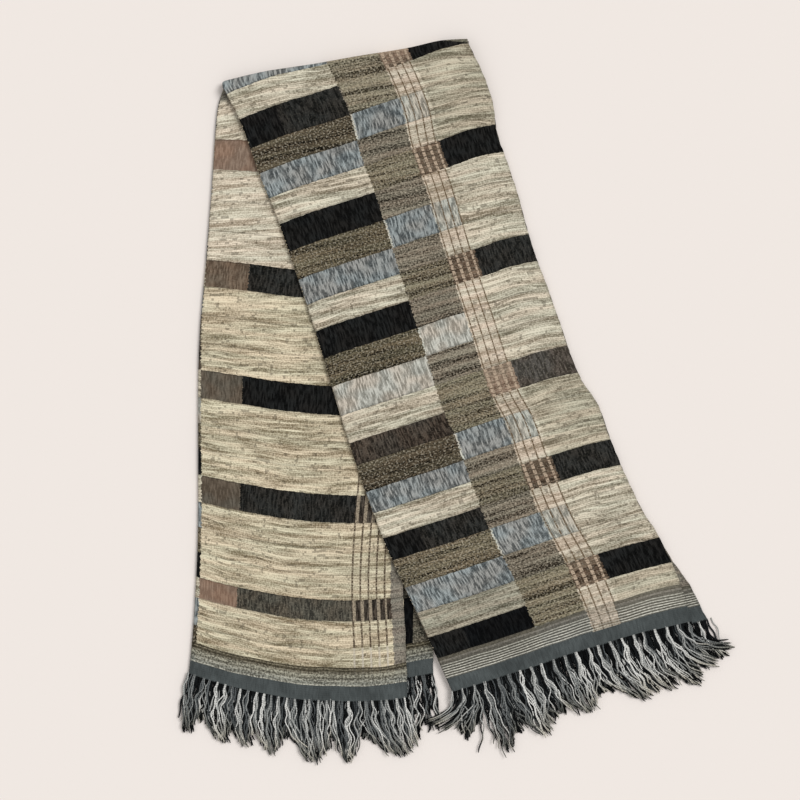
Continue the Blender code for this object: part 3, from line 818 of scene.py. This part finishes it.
# %% Nubs, husks and painted shade at the row edges
NUB_ABOVE, NUB_COVER, NUB_COLOUR = 0.665, 0.55, "C6BDA9"
HUSK_ABOVE, HUSK_COVER, HUSK_COLOUR = 0.745, 0.5, "4F4638"
# The painted shade line at each change of row: its width as a share of a row, how much it covers and its colour.
ROW_SHADE_SHARE, ROW_SHADE_COVER, ROW_SHADE_COLOUR = 0.045, 0.3, "1A1714"

nub = node("Math", patch["nub"], NUB_ABOVE, operation="GREATER_THAN")
husk = node("Math", thread["husk"], HUSK_ABOVE, operation="GREATER_THAN")
for part in (along_warp, speckled):
    husk = node("Math", husk, node("Math", part, 0.5, operation="LESS_THAN"), operation="MULTIPLY")
# Painted shade: a thin dark line where each row starts.
painted_shade = node("Math", node("Math", row_at, operation="FRACT"), ROW_SHADE_SHARE, operation="LESS_THAN")
nub = node("Math", nub, speckled, operation="MULTIPLY")
for where, cover, laid in ((nub, NUB_COVER, NUB_COLOUR), (husk, HUSK_COVER, HUSK_COLOUR),
                           (painted_shade, ROW_SHADE_COVER, ROW_SHADE_COLOUR)):
    cover = node("Math", where, cover, operation="MULTIPLY")
    colour = node("Mix", cover, colour, linear(laid), data_type="RGBA")
print("nubs, husks and packed weft:", NUB_COLOUR, HUSK_COLOUR, ROW_SHADE_COLOUR)

# %% [markdown]
# Two columns are striped along the warp. In the pale rows the stripes are dark lines, and in the dark rows the
# same ends make light squares, which on the front half are broken up by the weft every few millimetres.

# %% Warp stripes
# (-1 on the front half or 1 on the back one, millimetres of the first and past the last line, their spacing and
# width, where in each spacing the light squares start and stop, the colour of a line and of a square)
STRIPES = [
    (-1.0, 227.6, 266.5, 12.2, 2.2, 0.0, 0.38, "65543F", "BBA791"),
    (1.0, 272.5, 331.0, 13.9, 3.2, 0.10, 0.50, "55483A", "A0937F"),
]
# The lower leg's lines turn pale over their last stretch of this length.
BLEACHED_LENGTH = 71 * MM
BLEACHED_COLOUR = "C4BBAB"
# The weft that breaks up the squares, and the share of its spacing that it leaves open.
BREAK_SPACING, BREAK_OPEN = 8 * MM, 0.8

# In every four rows, the second is the dark one.
row_of_four = node("Math", whole_row, 4.0, operation="FLOORED_MODULO")
dark_row = node("Math", row_of_four, 1.0, 0.1, operation="COMPARE")
pale_row = node("Math", 1.0, dark_row, operation="SUBTRACT")
from_end = node("Math", WARP_LENGTH, warp_m, operation="SUBTRACT")
bleached = node("Math", from_end, BLEACHED_LENGTH, operation="LESS_THAN")
broken = node("Math", node("Math", warp_m, 1 / BREAK_SPACING, operation="MULTIPLY"), operation="FRACT")
unbroken = node("Math", broken, BREAK_OPEN, operation="LESS_THAN")
for half, first_mm, past_mm, pitch, wide, light_from, light_to, line_colour, square_colour in STRIPES:
    across_mm = node("Math", columns, half * HALF_WIDTH / MM, operation="MULTIPLY")
    from_first = node("Math", across_mm, first_mm - wide / 2, operation="SUBTRACT")
    phase = node("Math", node("Math", from_first, 1 / pitch, operation="MULTIPLY"), operation="FRACT")
    striped = [node("Math", from_first, 0.0, operation="GREATER_THAN"),
               node("Math", across_mm, past_mm, operation="LESS_THAN"), patch["blot"]]
    in_line = [node("Math", phase, wide / pitch, operation="LESS_THAN"), pale_row]
    in_square = [node("Math", phase, light_from, operation="GREATER_THAN"),
                 node("Math", phase, light_to, operation="LESS_THAN"), dark_row]
    in_square += [unbroken] if half < 0 else []
    line_tone = node("Mix", bleached, linear(line_colour), linear(BLEACHED_COLOUR), data_type="RGBA")
    for tests, laid in ((in_line, line_tone), (in_square, linear(square_colour))):
        cover = 1.0
        for test in striped + tests:
            cover = node("Math", test, cover, operation="MULTIPLY")
        colour = node("Mix", cover, colour, laid, data_type="RGBA")
print("stripes start at", [stripe[1] for stripe in STRIPES], "mm from the lengthwise fold")

# %% [markdown]
# Both ends finish in a border: fine lines of pale weft in a greyer ground, then the slate hem. In the weaver's
# striped column, next to the selvedge's block, the pale warp shows through the border's thin weft. The borders are
# charted in millimetres from the end, as (from, colour).

# %% Borders
BORDER_REACH = 64.0
BORDER_COVER = 0.93
HEM_DEPTH = 18.7 * MM
LINED_COLUMN = (-0.733, -0.624)
LINED_COVER = 0.42
# How much the picks of the two borders differ, and the darkest and palest pick.
UPPER_UNEVEN, LOWER_UNEVEN = 0.35, 0.9
PICK_RANGE, PICK_SHADES, HEM_RANGE, HEM_SHADES = (0.40, 0.60), (0.3, 1.65), (0.3, 0.7), (0.86, 1.14)
UPPER_BORDER = [(0, "4A4F4F"), (19.4, "5E5D57"), (21.0, "C6C4B8"), (22.2, "56544D"), (24.5, "C6C4B8"),
                (25.7, "56544D"), (28.0, "C6C4B8"), (29.2, "56544D"), (31.5, "BEBCB0"), (32.7, "56544D"),
                (35.0, "BEBCB0"), (36.2, "5A5850"), (38.5, "AFADA1"), (39.7, "5E5B53"), (44, "77736A"),
                (46.5, "5A564C"), (51, None)]
LOWER_BORDER = [(0, "4A4F4F"), (18.7, "9A998E"), (20.5, "76776F"), (24.5, "8B8A7F"), (28, "6C6A5F"),
                (31, "8A887A"), (35, "6B675A"), (38.2, "3A3529"), (41, "6A6454"), (42.5, "433D30"), (44.5, None)]

picks = node("MapRange", node("Mix", 0.75, thread["slub"], patch["grit"]), *PICK_RANGE, *PICK_SHADES)
hem = node("MapRange", thread["hatch"], *HEM_RANGE, *HEM_SHADES)
hem = node("Math", hem, patch["hem dye"], operation="MULTIPLY")
lined = node("Math", node("Math", column_at, LINED_COLUMN[0], operation="GREATER_THAN"),
             node("Math", column_at, LINED_COLUMN[1], operation="LESS_THAN"), operation="MULTIPLY")
for border, from_here, uneven in ((UPPER_BORDER, warp_m, UPPER_UNEVEN), (LOWER_BORDER, from_end, LOWER_UNEVEN)):
    wandering = node("Math", from_here, 1 / MM, patch["pick wander"], operation="MULTIPLY_ADD")
    ramp = node("ValToRGB", node("Math", wandering, 1 / BORDER_REACH, operation="MULTIPLY"))
    set_stops(ramp, [(at / BORDER_REACH, (*linear(laid)[:3], BORDER_COVER if at else 1.0) if laid else (0, 0, 0, 0))
                     for at, laid in border])
    in_hem = node("Math", from_here, HEM_DEPTH, operation="LESS_THAN")
    shade = node("Mix", in_hem, node("Mix", uneven, 1.0, picks), hem)
    shaded = node("Mix", 1.0, ramp, shade, data_type="RGBA", blend_type="MULTIPLY")
    sheer = node("Math", lined, node("Math", 1.0, in_hem, operation="SUBTRACT"), operation="MULTIPLY")
    cover = node("Math", ramp.outputs["Alpha"], node("Mix", sheer, 1.0, LINED_COVER), operation="MULTIPLY")
    colour = node("Mix", cover, colour, shaded, data_type="RGBA")
print("borders of", len(UPPER_BORDER), "and", len(LOWER_BORDER), "bands")

# %% [markdown]
# At last the whole cloth gets a little wear, and a relief: every pick or end is a small round rib, and thick
# stretches of yarn stand proud. At this size relief in the shader is enough, because no outline shows it.

# %% Wear, relief and the dressed cloth
RELIEF, RELIEF_STRENGTH = 0.7 * MM, 0.8
STREAK_HEIGHT, RIB_HEIGHT = 0.6, 0.4
colour = node("Mix", 1.0, colour, patch["wear"], data_type="RGBA", blend_type="MULTIPLY")
height = node("Math", rib_and_painted_shade, RIB_HEIGHT, grain, operation="MULTIPLY_ADD")
height = node("Math", streak, STREAK_HEIGHT, height, operation="MULTIPLY_ADD")
bump = node("Bump", RELIEF_STRENGTH, RELIEF, None, height)
tree.links.new(colour.outputs[2], shader.inputs["Base Color"])
tree.links.new(bump.outputs[0], shader.inputs["Normal"])

cloth = cloth_object("woven_cloth", woven)
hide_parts("cloth")
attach(cloth, "root")
print("cloth:", len(cloth.data.polygons), "faces, and a finish of", len(tree.nodes), "nodes")

# %% [markdown]
# ## The fringes
#
# The fringe is the throw's own warp, cut long and left loose. It falls in bunches, about 17 mm apart at the upper
# leg's end and 13 mm at the lower one's, which spread and then lean together into ragged points. Light and dark
# yarns mix, and the light ones lie mostly on top. A hair system could make them, but each yarn has to be a mesh of
# its own here, so every one is a closed tube with five sides, on a path from the hem through its bunch to its
# point. The points are those of the solids' locks. The cloth has about as many ends as there are tubes. They are
# drawn about 2 mm thick, a little more than the real yarn, so that single yarns show at 1.4 mm to a pixel.

# %% Where the yarns end
# Points of the fringe: (share of the end at which its roots stop, x, y, how wide its tips lie), in millimetres.
UPPER_FRONT_TUFTS = [(0.045, -42, -458, 20), (0.075, -20, -466, 30), (0.10, 8, -470, 28), (0.104, 34.6, -503.6, 1),
                     (0.20, 76, -496, 30), (0.36, 128, -470, 34), (0.57, 187, -440, 42), (0.73, 268, -421, 44),
                     (0.82, 309, -407, 36), (0.89, 343, -401, 36), (0.95, 367, -375, 34), (1.00, 385, -349, 28)]
UPPER_BACK_TUFTS = [(0.10, 18, -474, 26), (0.24, 88, -470, 42), (0.42, 148, -443, 48), (0.62, 218, -410, 56),
                    (0.80, 291, -410, 50), (0.91, 338, -398, 44), (1.00, 374, -364, 40)]
LOWER_BACK_TUFTS = [(0.08, -377, -467, 16), (0.20, -329, -482, 26), (0.31, -295, -488, 24),
                    (0.44, -259, -499, 28), (0.65, -198, -509, 34), (0.78, -150, -511, 16), (1.00, -75, -500, 58)]
LOWER_FRONT_TUFTS = [(0.12, -358, -452, 36), (0.30, -312, -470, 48), (0.50, -233, -477, 64), (0.70, -170, -477, 56),
                     (0.80, -128, -480, 50), (0.89, -88, -480, 46), (0.95, -56, -476, 36), (1.00, -30, -467, 26)]


def tuft_places(share, tufts):
    """Each yarn's tuft: its point, how wide its tips lie, and where across it the yarn is, from -1 to 1."""
    stops = np.array([tuft[0] for tuft in tufts])
    number = np.minimum(np.searchsorted(stops, share), len(tufts) - 1)
    start = np.concatenate([[0], stops[:-1]])[number]
    taken = stops[number] - start
    point = to_metres([tuft[1:3] for tuft in tufts])[number]
    wide = np.array([tuft[3] for tuft in tufts])[number] * MM
    return point, wide, (2 * share - start - stops[number]) / taken


print("tufts:", [len(tufts) for tufts in (UPPER_FRONT_TUFTS, UPPER_BACK_TUFTS, LOWER_BACK_TUFTS, LOWER_FRONT_TUFTS)])

# %% [markdown]
# A loose yarn has two lives. Near the hem it is held in its bunch, and towards the tip it goes its own way. So each
# path is a plain curve from root to point, pulled towards the middle of its bunch, with a wave that it shares with
# the bunch and a smaller one of its own.

# %% Numbers of a loose yarn
# Yarns of each kind in the top and the bottom layer of a fringe, and how thick they are.
YARN_COUNTS = {"dark": {"over": 225, "under": 240}, "light": {"over": 140, "under": 86}}
YARN_RADIUS = {"dark": 1.1 * MM, "light": 0.9 * MM}
UNDER_THICKER = 1.25
# The first yarn's distance from the fold and the last one's from the selvedge, how far down the leg the roots are,
# and the scatter of roots, bunches and tips.
FROM_FOLD, FROM_SELVEDGE, ROOT_DOWN = 3 * MM, 1.5 * MM, 0.9985
ROOT_SCATTER, BUNCH_SCATTER, TIP_SCATTER = 0.35 * MM, 1.6 * MM, 2.4 * MM
BUNCH_SPACING = {"upper": 17 * MM, "lower": 12.6 * MM}
# How far the yarns have come together, this many millimetres from the hem.
GATHERED_AT = [0, 4, 22, 45, 90]
GATHERED = {"dark": [0.0, 0.1, 0.15, 0.1, 0.1],
            "upper": [0.80, 0.84, 0.72, 0.42, 0.2],
            "lower": [0.78, 0.76, 0.50, 0.22, 0.1]}
# A yarn at a tuft's side is shorter by this share, more or less, and none by more than half.
SHORTER, SHORTER_SCATTER, SHORTEST = 0.24, 0.03, 0.5
# Every third dark yarn hangs straight and fills the gaps between the points, for this share of a yarn's length.
STRAIGHT_EVERY, STRAIGHT, STRAIGHT_FROM = 3, (0.62, 0.76), 0.09
# How far along a yarn its curve bends, and the distance from the hem over which its waves grow.
BEND_AT = 0.55
WAVES_GROW = (1 * MM, 15 * MM)
# How far along the cloth's end, as a share of it, its direction at a yarn is measured.
END_SPAN = 0.03
# The lengths of the waves, how far they swing, and how far a tip drifts aside.
BUNCH_WAVE, OWN_WAVE = (34 * MM, 60 * MM), (19 * MM, 36 * MM)
BUNCH_SWING, DARK_SWING, OWN_SWING, DRIFT = (0.9 * MM, 2.9 * MM), 0.35, 1.25 * MM, 2.2 * MM
# How far above the middle of the cloth a light yarn starts, and a dark one below it. Then the height at which a
# yarn comes to rest, how much higher the light ones and the piled ones lie, the least height, the swell of the
# height, and the share of its length over which a yarn comes down.
START = 0.2 * MM
REST = {"over": 2.6 * MM, "under": 1.05 * MM}
LIGHT_ABOVE, PILED, LOWEST, RISE = 1.5 * MM, 1.5 * MM, 1.0 * MM, 0.5 * MM
FALL = {"over": (0.05, 0.55), "under": (0.05, 0.35)}
# Tones from 0, black, to 1, white: of a light yarn, of a dark one and of the few in between.
LIGHT_TONE, DARK_TONE, BETWEEN_TONE, BETWEEN_SHARE = (0.6, 0.98), (0.0, 0.45), (0.5, 0.58), 0.2
LEAST_LIGHT = 0.56
BUNCH_TONE = (-0.2, 0.16)
# The upper fringe has lighter bunches past its middle: (share of the end, how much lighter).
LIGHTER_BUNCHES = ([0.40, 0.50, 0.76, 0.86], [-0.03, 0.15, 0.15, 0.0])
PATH_STEPS = 26
for kind, counts in YARN_COUNTS.items():
    print(sum(counts.values()), kind, "yarns in each fringe,", round(2 * YARN_RADIUS[kind] / MM, 1), "mm thick")

# %% [markdown]
# Chance decides the rest: where exactly a root sits, how a yarn waves and how light it is. A seed keeps the draws
# the same at every run.

# %% How light each yarn is
rng = np.random.default_rng(23)


def yarn_tones(leg, share, bunch_number, light):
    """Each yarn's tone from 0, dark, to 1, light."""
    count = len(share)
    bunch_tone = rng.uniform(*BUNCH_TONE, bunch_number.max() + 1)[bunch_number]
    bunch_tone += np.interp(share, *LIGHTER_BUNCHES) if leg is UPPER else 0
    between = rng.random(count) < BETWEEN_SHARE
    dark_tone = np.where(between, rng.uniform(*BETWEEN_TONE, count), rng.uniform(*DARK_TONE, count))
    return np.clip(rng.uniform(*LIGHT_TONE, count) + bunch_tone, LEAST_LIGHT, 1) if light else dark_tone


# %% How a loose yarn lies
def yarn_paths(leg, side, tufts, lies, light):
    """Paths of one layer's yarns, as (yarn, step, xyz), and each yarn's tone and radius."""
    end_name, kind = "upper" if leg is UPPER else "lower", "light" if light else "dark"
    layer, count, spacing = leg["front" if side < 0 else "back"], YARN_COUNTS[kind][lies], BUNCH_SPACING[end_name]
    u = np.linspace(FROM_FOLD, HALF_WIDTH - FROM_SELVEDGE, count) + rng.normal(0, ROOT_SCATTER, count)
    share = across_fold(u)[0] / WIDEST_REACH
    root = leg_point(leg, side * u, ROOT_DOWN)

    # The lower layer's bunches lie between the upper one's.
    shift = 0 if lies == "over" else 0.5
    bunch_number = np.round(u / spacing - shift).astype(int) - min(0, round(-shift))
    bunches = bunch_number.max() + 1
    bunch = (bunch_number + shift) * spacing + rng.normal(0, BUNCH_SCATTER, bunches)[bunch_number]
    pull = (bunch - u) / WIDEST_REACH * layer.end.length
    chord = layer.end(np.minimum(share + END_SPAN, 1)) - layer.end(np.maximum(share - END_SPAN, 0))
    chord /= np.linalg.norm(chord, axis=1, keepdims=True)
    outward = np.stack([chord[:, 1], -chord[:, 0]], axis=1)

    point, wide, aside = tuft_places(np.clip(share, 0, 1), tufts)
    tip = point + chord * (aside * wide / 2)[:, None] + rng.normal(0, TIP_SCATTER, (count, 2))
    short = SHORTER * aside**2 + np.abs(rng.normal(0, SHORTER_SCATTER, count))
    tip += (root[:, :2] - tip) * np.minimum(short, SHORTEST)[:, None]
    length = np.linalg.norm(tip - root[:, :2], axis=1)
    if not light:
        straight = root[:, :2] + outward * (length * rng.uniform(*STRAIGHT, count))[:, None]
        hangs = (np.arange(count) % STRAIGHT_EVERY == 0) & (share > STRAIGHT_FROM)
        tip = np.where(hangs[:, None], straight, tip)
    bend = root[:, :2] + outward * (BEND_AT * length)[:, None]

    t = np.linspace(0, 1, PATH_STEPS + 1)[None, :, None]
    place = root[:, None, :2] * (1 - t) ** 2 + bend[:, None] * 2 * t * (1 - t) + tip[:, None] * t**2
    run = t[..., 0] * length[:, None]
    gather = np.interp(run / MM, GATHERED_AT, GATHERED[end_name if light else "dark"])
    own = rng.uniform(0, 2 * math.pi, (3, count, 1))
    shared = rng.uniform(0, 2 * math.pi, (2, bunches))[:, bunch_number, None]
    turn = 2 * math.pi * run / rng.uniform(*BUNCH_WAVE, bunches)[bunch_number, None]
    own_turn = 2 * math.pi * run / rng.uniform(*OWN_WAVE, (count, 1))
    swing = rng.uniform(*BUNCH_SWING, bunches)[bunch_number, None] * (1.0 if light else DARK_SWING)
    grown = ease(run, *WAVES_GROW)
    waves = (swing * np.sin(turn + shared[0] + 0.8 * np.sin(own[0])) + OWN_SWING * np.sin(own_turn + own[1])
             + rng.normal(0, DRIFT, (count, 1)) * t[..., 0])
    place += chord[:, None] * (gather * pull[:, None] + grown * waves)[..., None]

    tone = yarn_tones(leg, share, bunch_number, light)
    fall = ease(t[..., 0], *FALL[lies])
    rest = REST[lies] + (LIGHT_ABOVE if light else 0) + rng.uniform(0, PILED, (count, 1))
    rest = rest + RISE * grown * np.sin(turn + own[2])
    start = root[:, None, 2] + (START if light else -START)
    height = start * (1 - fall) + np.maximum(rest, LOWEST) * fall
    thicker = UNDER_THICKER if lies == "under" and not light else 1
    return np.concatenate([place, height[..., None]], axis=-1), tone, np.full(count, YARN_RADIUS[kind] * thicker)


# %% [markdown]
# A tube is a ring of points at each step of its path, joined by quads and closed with a cap at both ends. All the
# yarns of a fringe are one mesh. Its maps hold each yarn's tone, how far along it a point lies, where that is in
# the twist, and a cell of the bake image for each yarn.

# %% Tubes along the paths
TUBE_SIDES = 5
# The last two rings narrow to these shares of the radius, and no ring reaches below this height.
TIP_TAPER = (0.9, 0.45)
LOWEST_POINT = 0.02 * MM
# A yarn's cell in the bake image is this many times as tall as wide. Its sides start and span these shares of the
# cell, and its caps, which are drawn as single points, lie in the margin.
CELL_SHAPE = 14
CELL_U, CELL_V = (0.05, 0.85), (0.01, 0.96)
CAP_U, CAP_V = 0.02, (0.005, 0.98)


def tubes(paths, tones, radii):
    """Closed tubes on the paths, with maps of each yarn's tone and twist and of its place in the bake."""
    count, steps = paths.shape[:2]
    ahead = np.gradient(paths, axis=1)
    ahead /= np.linalg.norm(ahead, axis=2, keepdims=True)
    sideways = np.cross(ahead, [0, 0, 1.0])
    sideways /= np.linalg.norm(sideways, axis=2, keepdims=True)
    up = np.cross(sideways, ahead)
    angle = np.linspace(0, 2 * math.pi, TUBE_SIDES, endpoint=False)
    taper = np.ones(steps)
    taper[-2:] = TIP_TAPER
    around = np.cos(angle)[:, None] * sideways[:, :, None] + np.sin(angle)[:, None] * up[:, :, None]
    points = paths[:, :, None] + around * (radii[:, None] * taper)[:, :, None, None]
    points[..., 2] = np.maximum(points[..., 2], LOWEST_POINT)

    ring, side = np.meshgrid(np.arange(steps - 1), np.arange(TUBE_SIDES), indexing="ij")
    following = (side + 1) % TUBE_SIDES
    quad = np.stack([ring * TUBE_SIDES + side, ring * TUBE_SIDES + following,
                     (ring + 1) * TUBE_SIDES + following, (ring + 1) * TUBE_SIDES + side], axis=-1).reshape(-1, 4)
    caps = [list(range(TUBE_SIDES))[::-1], [(steps - 1) * TUBE_SIDES + i for i in range(TUBE_SIDES)]]
    offsets = np.arange(count) * steps * TUBE_SIDES
    faces = (quad[None] + offsets[:, None, None]).reshape(-1, 4).tolist()
    corner_v = np.stack([ring, ring, ring + 1, ring + 1], axis=-1).reshape(-1, 4) / (steps - 1)
    corner_u = np.stack([side, side + 1, side + 1, side], axis=-1).reshape(-1, 4) / TUBE_SIDES
    yarn_map = np.stack([np.broadcast_to(tones[:, None, None], (count, *corner_v.shape)) + 0 * corner_u,
                         np.broadcast_to(corner_v + 0, (count, *corner_v.shape))], axis=-1).reshape(-1, 2)
    twist_map = np.stack(np.broadcast_arrays(corner_u[None], corner_v[None] + 0 * offsets[:, None, None]),
                         axis=-1).reshape(-1, 2)
    across = math.ceil(math.sqrt(CELL_SHAPE * count))
    down = math.ceil(count / across)
    cell_u, cell_v = np.arange(count) % across, np.arange(count) // across
    bake_map = np.stack([(cell_u[:, None, None] + CELL_U[0] + corner_u * CELL_U[1]) / across,
                         (cell_v[:, None, None] + CELL_V[0] + corner_v * CELL_V[1]) / down], axis=-1).reshape(-1, 2)
    for cap, at in zip(caps, (0.0, 1.0)):
        faces += [[offset + i for i in cap] for offset in offsets]
        cap_yarn = np.stack([np.repeat(tones, TUBE_SIDES), np.full(count * TUBE_SIDES, at)], axis=-1)
        cap_bake = np.stack([np.repeat((cell_u + CAP_U) / across, TUBE_SIDES),
                             np.repeat((cell_v + CAP_V[0] + CAP_V[1] * at) / down, TUBE_SIDES)], axis=-1)
        yarn_map = np.concatenate([yarn_map, cap_yarn])
        twist_map = np.concatenate([twist_map, np.zeros((count * TUBE_SIDES, 2)) + [0, at]])
        bake_map = np.concatenate([bake_map, cap_bake])
    return points.reshape(-1, 3), faces, {"yarn": yarn_map, "twist": twist_map, "OFBake": bake_map}


# %% [markdown]
# The yarn is a soft two-ply of undyed and grey wool, which is matt and shows its twist as slanting lines about 3 mm
# apart, with painted shade in the furrows and painted light on the backs. The tone of each yarn comes from its map.
# Its root is painted darker, as the shade between the bunches near the hem, and the ends are matted and a little
# soiled.

# %% Fringe yarn finish
# The ramp from the darkest yarn to the lightest, as (tone, colour).
TONES = [(0.25, "0E1011"), (0.50, "1F2325"), (0.56, "575B5C"), (0.80, "989A97")]
DARKEST, LIGHTEST = "050607", "E2E1DC"
# Turns of the twist in a yarn of some 85 mm.
TURNS = 26.0
# How dark the twist's furrows are and how light its backs: painted shade and light, over the tones of the two plies.
TWIST_SHADES = (0.72, 1.12)
# How dark the painted shade makes a dark and a light yarn's root, over this share of its length, and the tone that
# parts the two.
ROOT_SHADES, ROOT_LENGTH, LIGHT_ABOVE_TONE = (0.35, 0.85), 0.10, 0.53
SOILED, SOILED_FROM = (0.62, 0.58, 0.5, 1.0), 0.6
TWIST_RELIEF, TWIST_STRENGTH = 0.3 * MM, 0.5

yarn_finish, tree, shader = new_material("two_ply_grey_yarn", {
    "Roughness": 0.85, "Specular IOR Level": 0.08, "Sheen Weight": 0.02})
node = partial(add, tree)
tone_at, along, _ = node("SeparateXYZ", node("UVMap", uv_map="yarn")).outputs
side_at, length_at, _ = node("SeparateXYZ", node("UVMap", uv_map="twist")).outputs
colour = node("ValToRGB", tone_at)
elements = colour.color_ramp.elements
elements[0].color, elements[1].color = linear(DARKEST), linear(LIGHTEST)
for at, laid in TONES:
    elements.new(at).color = linear(laid)
turned = node("Math", length_at, TURNS, side_at, operation="MULTIPLY_ADD")
ply = node("Math", node("Math", turned, 2 * math.pi, operation="MULTIPLY"), operation="SINE")
is_light = node("Math", tone_at, LIGHT_ABOVE_TONE, operation="GREATER_THAN")
painted_root_shade = node("MapRange", is_light, 0.0, 1.0, *ROOT_SHADES)
# Multiplied in: the twist's painted shade and light, the painted shade at the root, and the soiled ends.
for cover, laid in ((1.0, node("MapRange", ply, -1.0, 1.0, *TWIST_SHADES)),
                    (1.0, node("MapRange", along, 0.0, ROOT_LENGTH, painted_root_shade, 1.0)),
                    (node("MapRange", along, SOILED_FROM, 1.0), SOILED)):
    colour = node("Mix", cover, colour, laid, data_type="RGBA", blend_type="MULTIPLY")
bump = node("Bump", TWIST_STRENGTH, TWIST_RELIEF, None, ply)
tree.links.new(colour.outputs[2], shader.inputs["Base Color"])
tree.links.new(bump.outputs[0], shader.inputs["Normal"])
print("yarn finish:", len(tree.nodes), "nodes")

# %% Build the two fringes
for name, leg, layers in (("upper", UPPER, ((-1, UPPER_FRONT_TUFTS, "over"), (1, UPPER_BACK_TUFTS, "under"))),
                          ("lower", LOWER, ((1, LOWER_BACK_TUFTS, "over"), (-1, LOWER_FRONT_TUFTS, "under")))):
    made = [yarn_paths(leg, side, tufts, lies, light) for side, tufts, lies in layers for light in (False, True)]
    paths, tones, radii = (np.concatenate(part) for part in zip(*made))
    points, faces, maps = tubes(paths, tones, radii)
    fringe = mesh_object("fringe_yarns_" + name, points, faces, maps, yarn_finish)
    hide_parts("fringe_" + name)
    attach(fringe, "root")
    print(fringe.name, len(paths), "yarns,", len(faces), "faces")
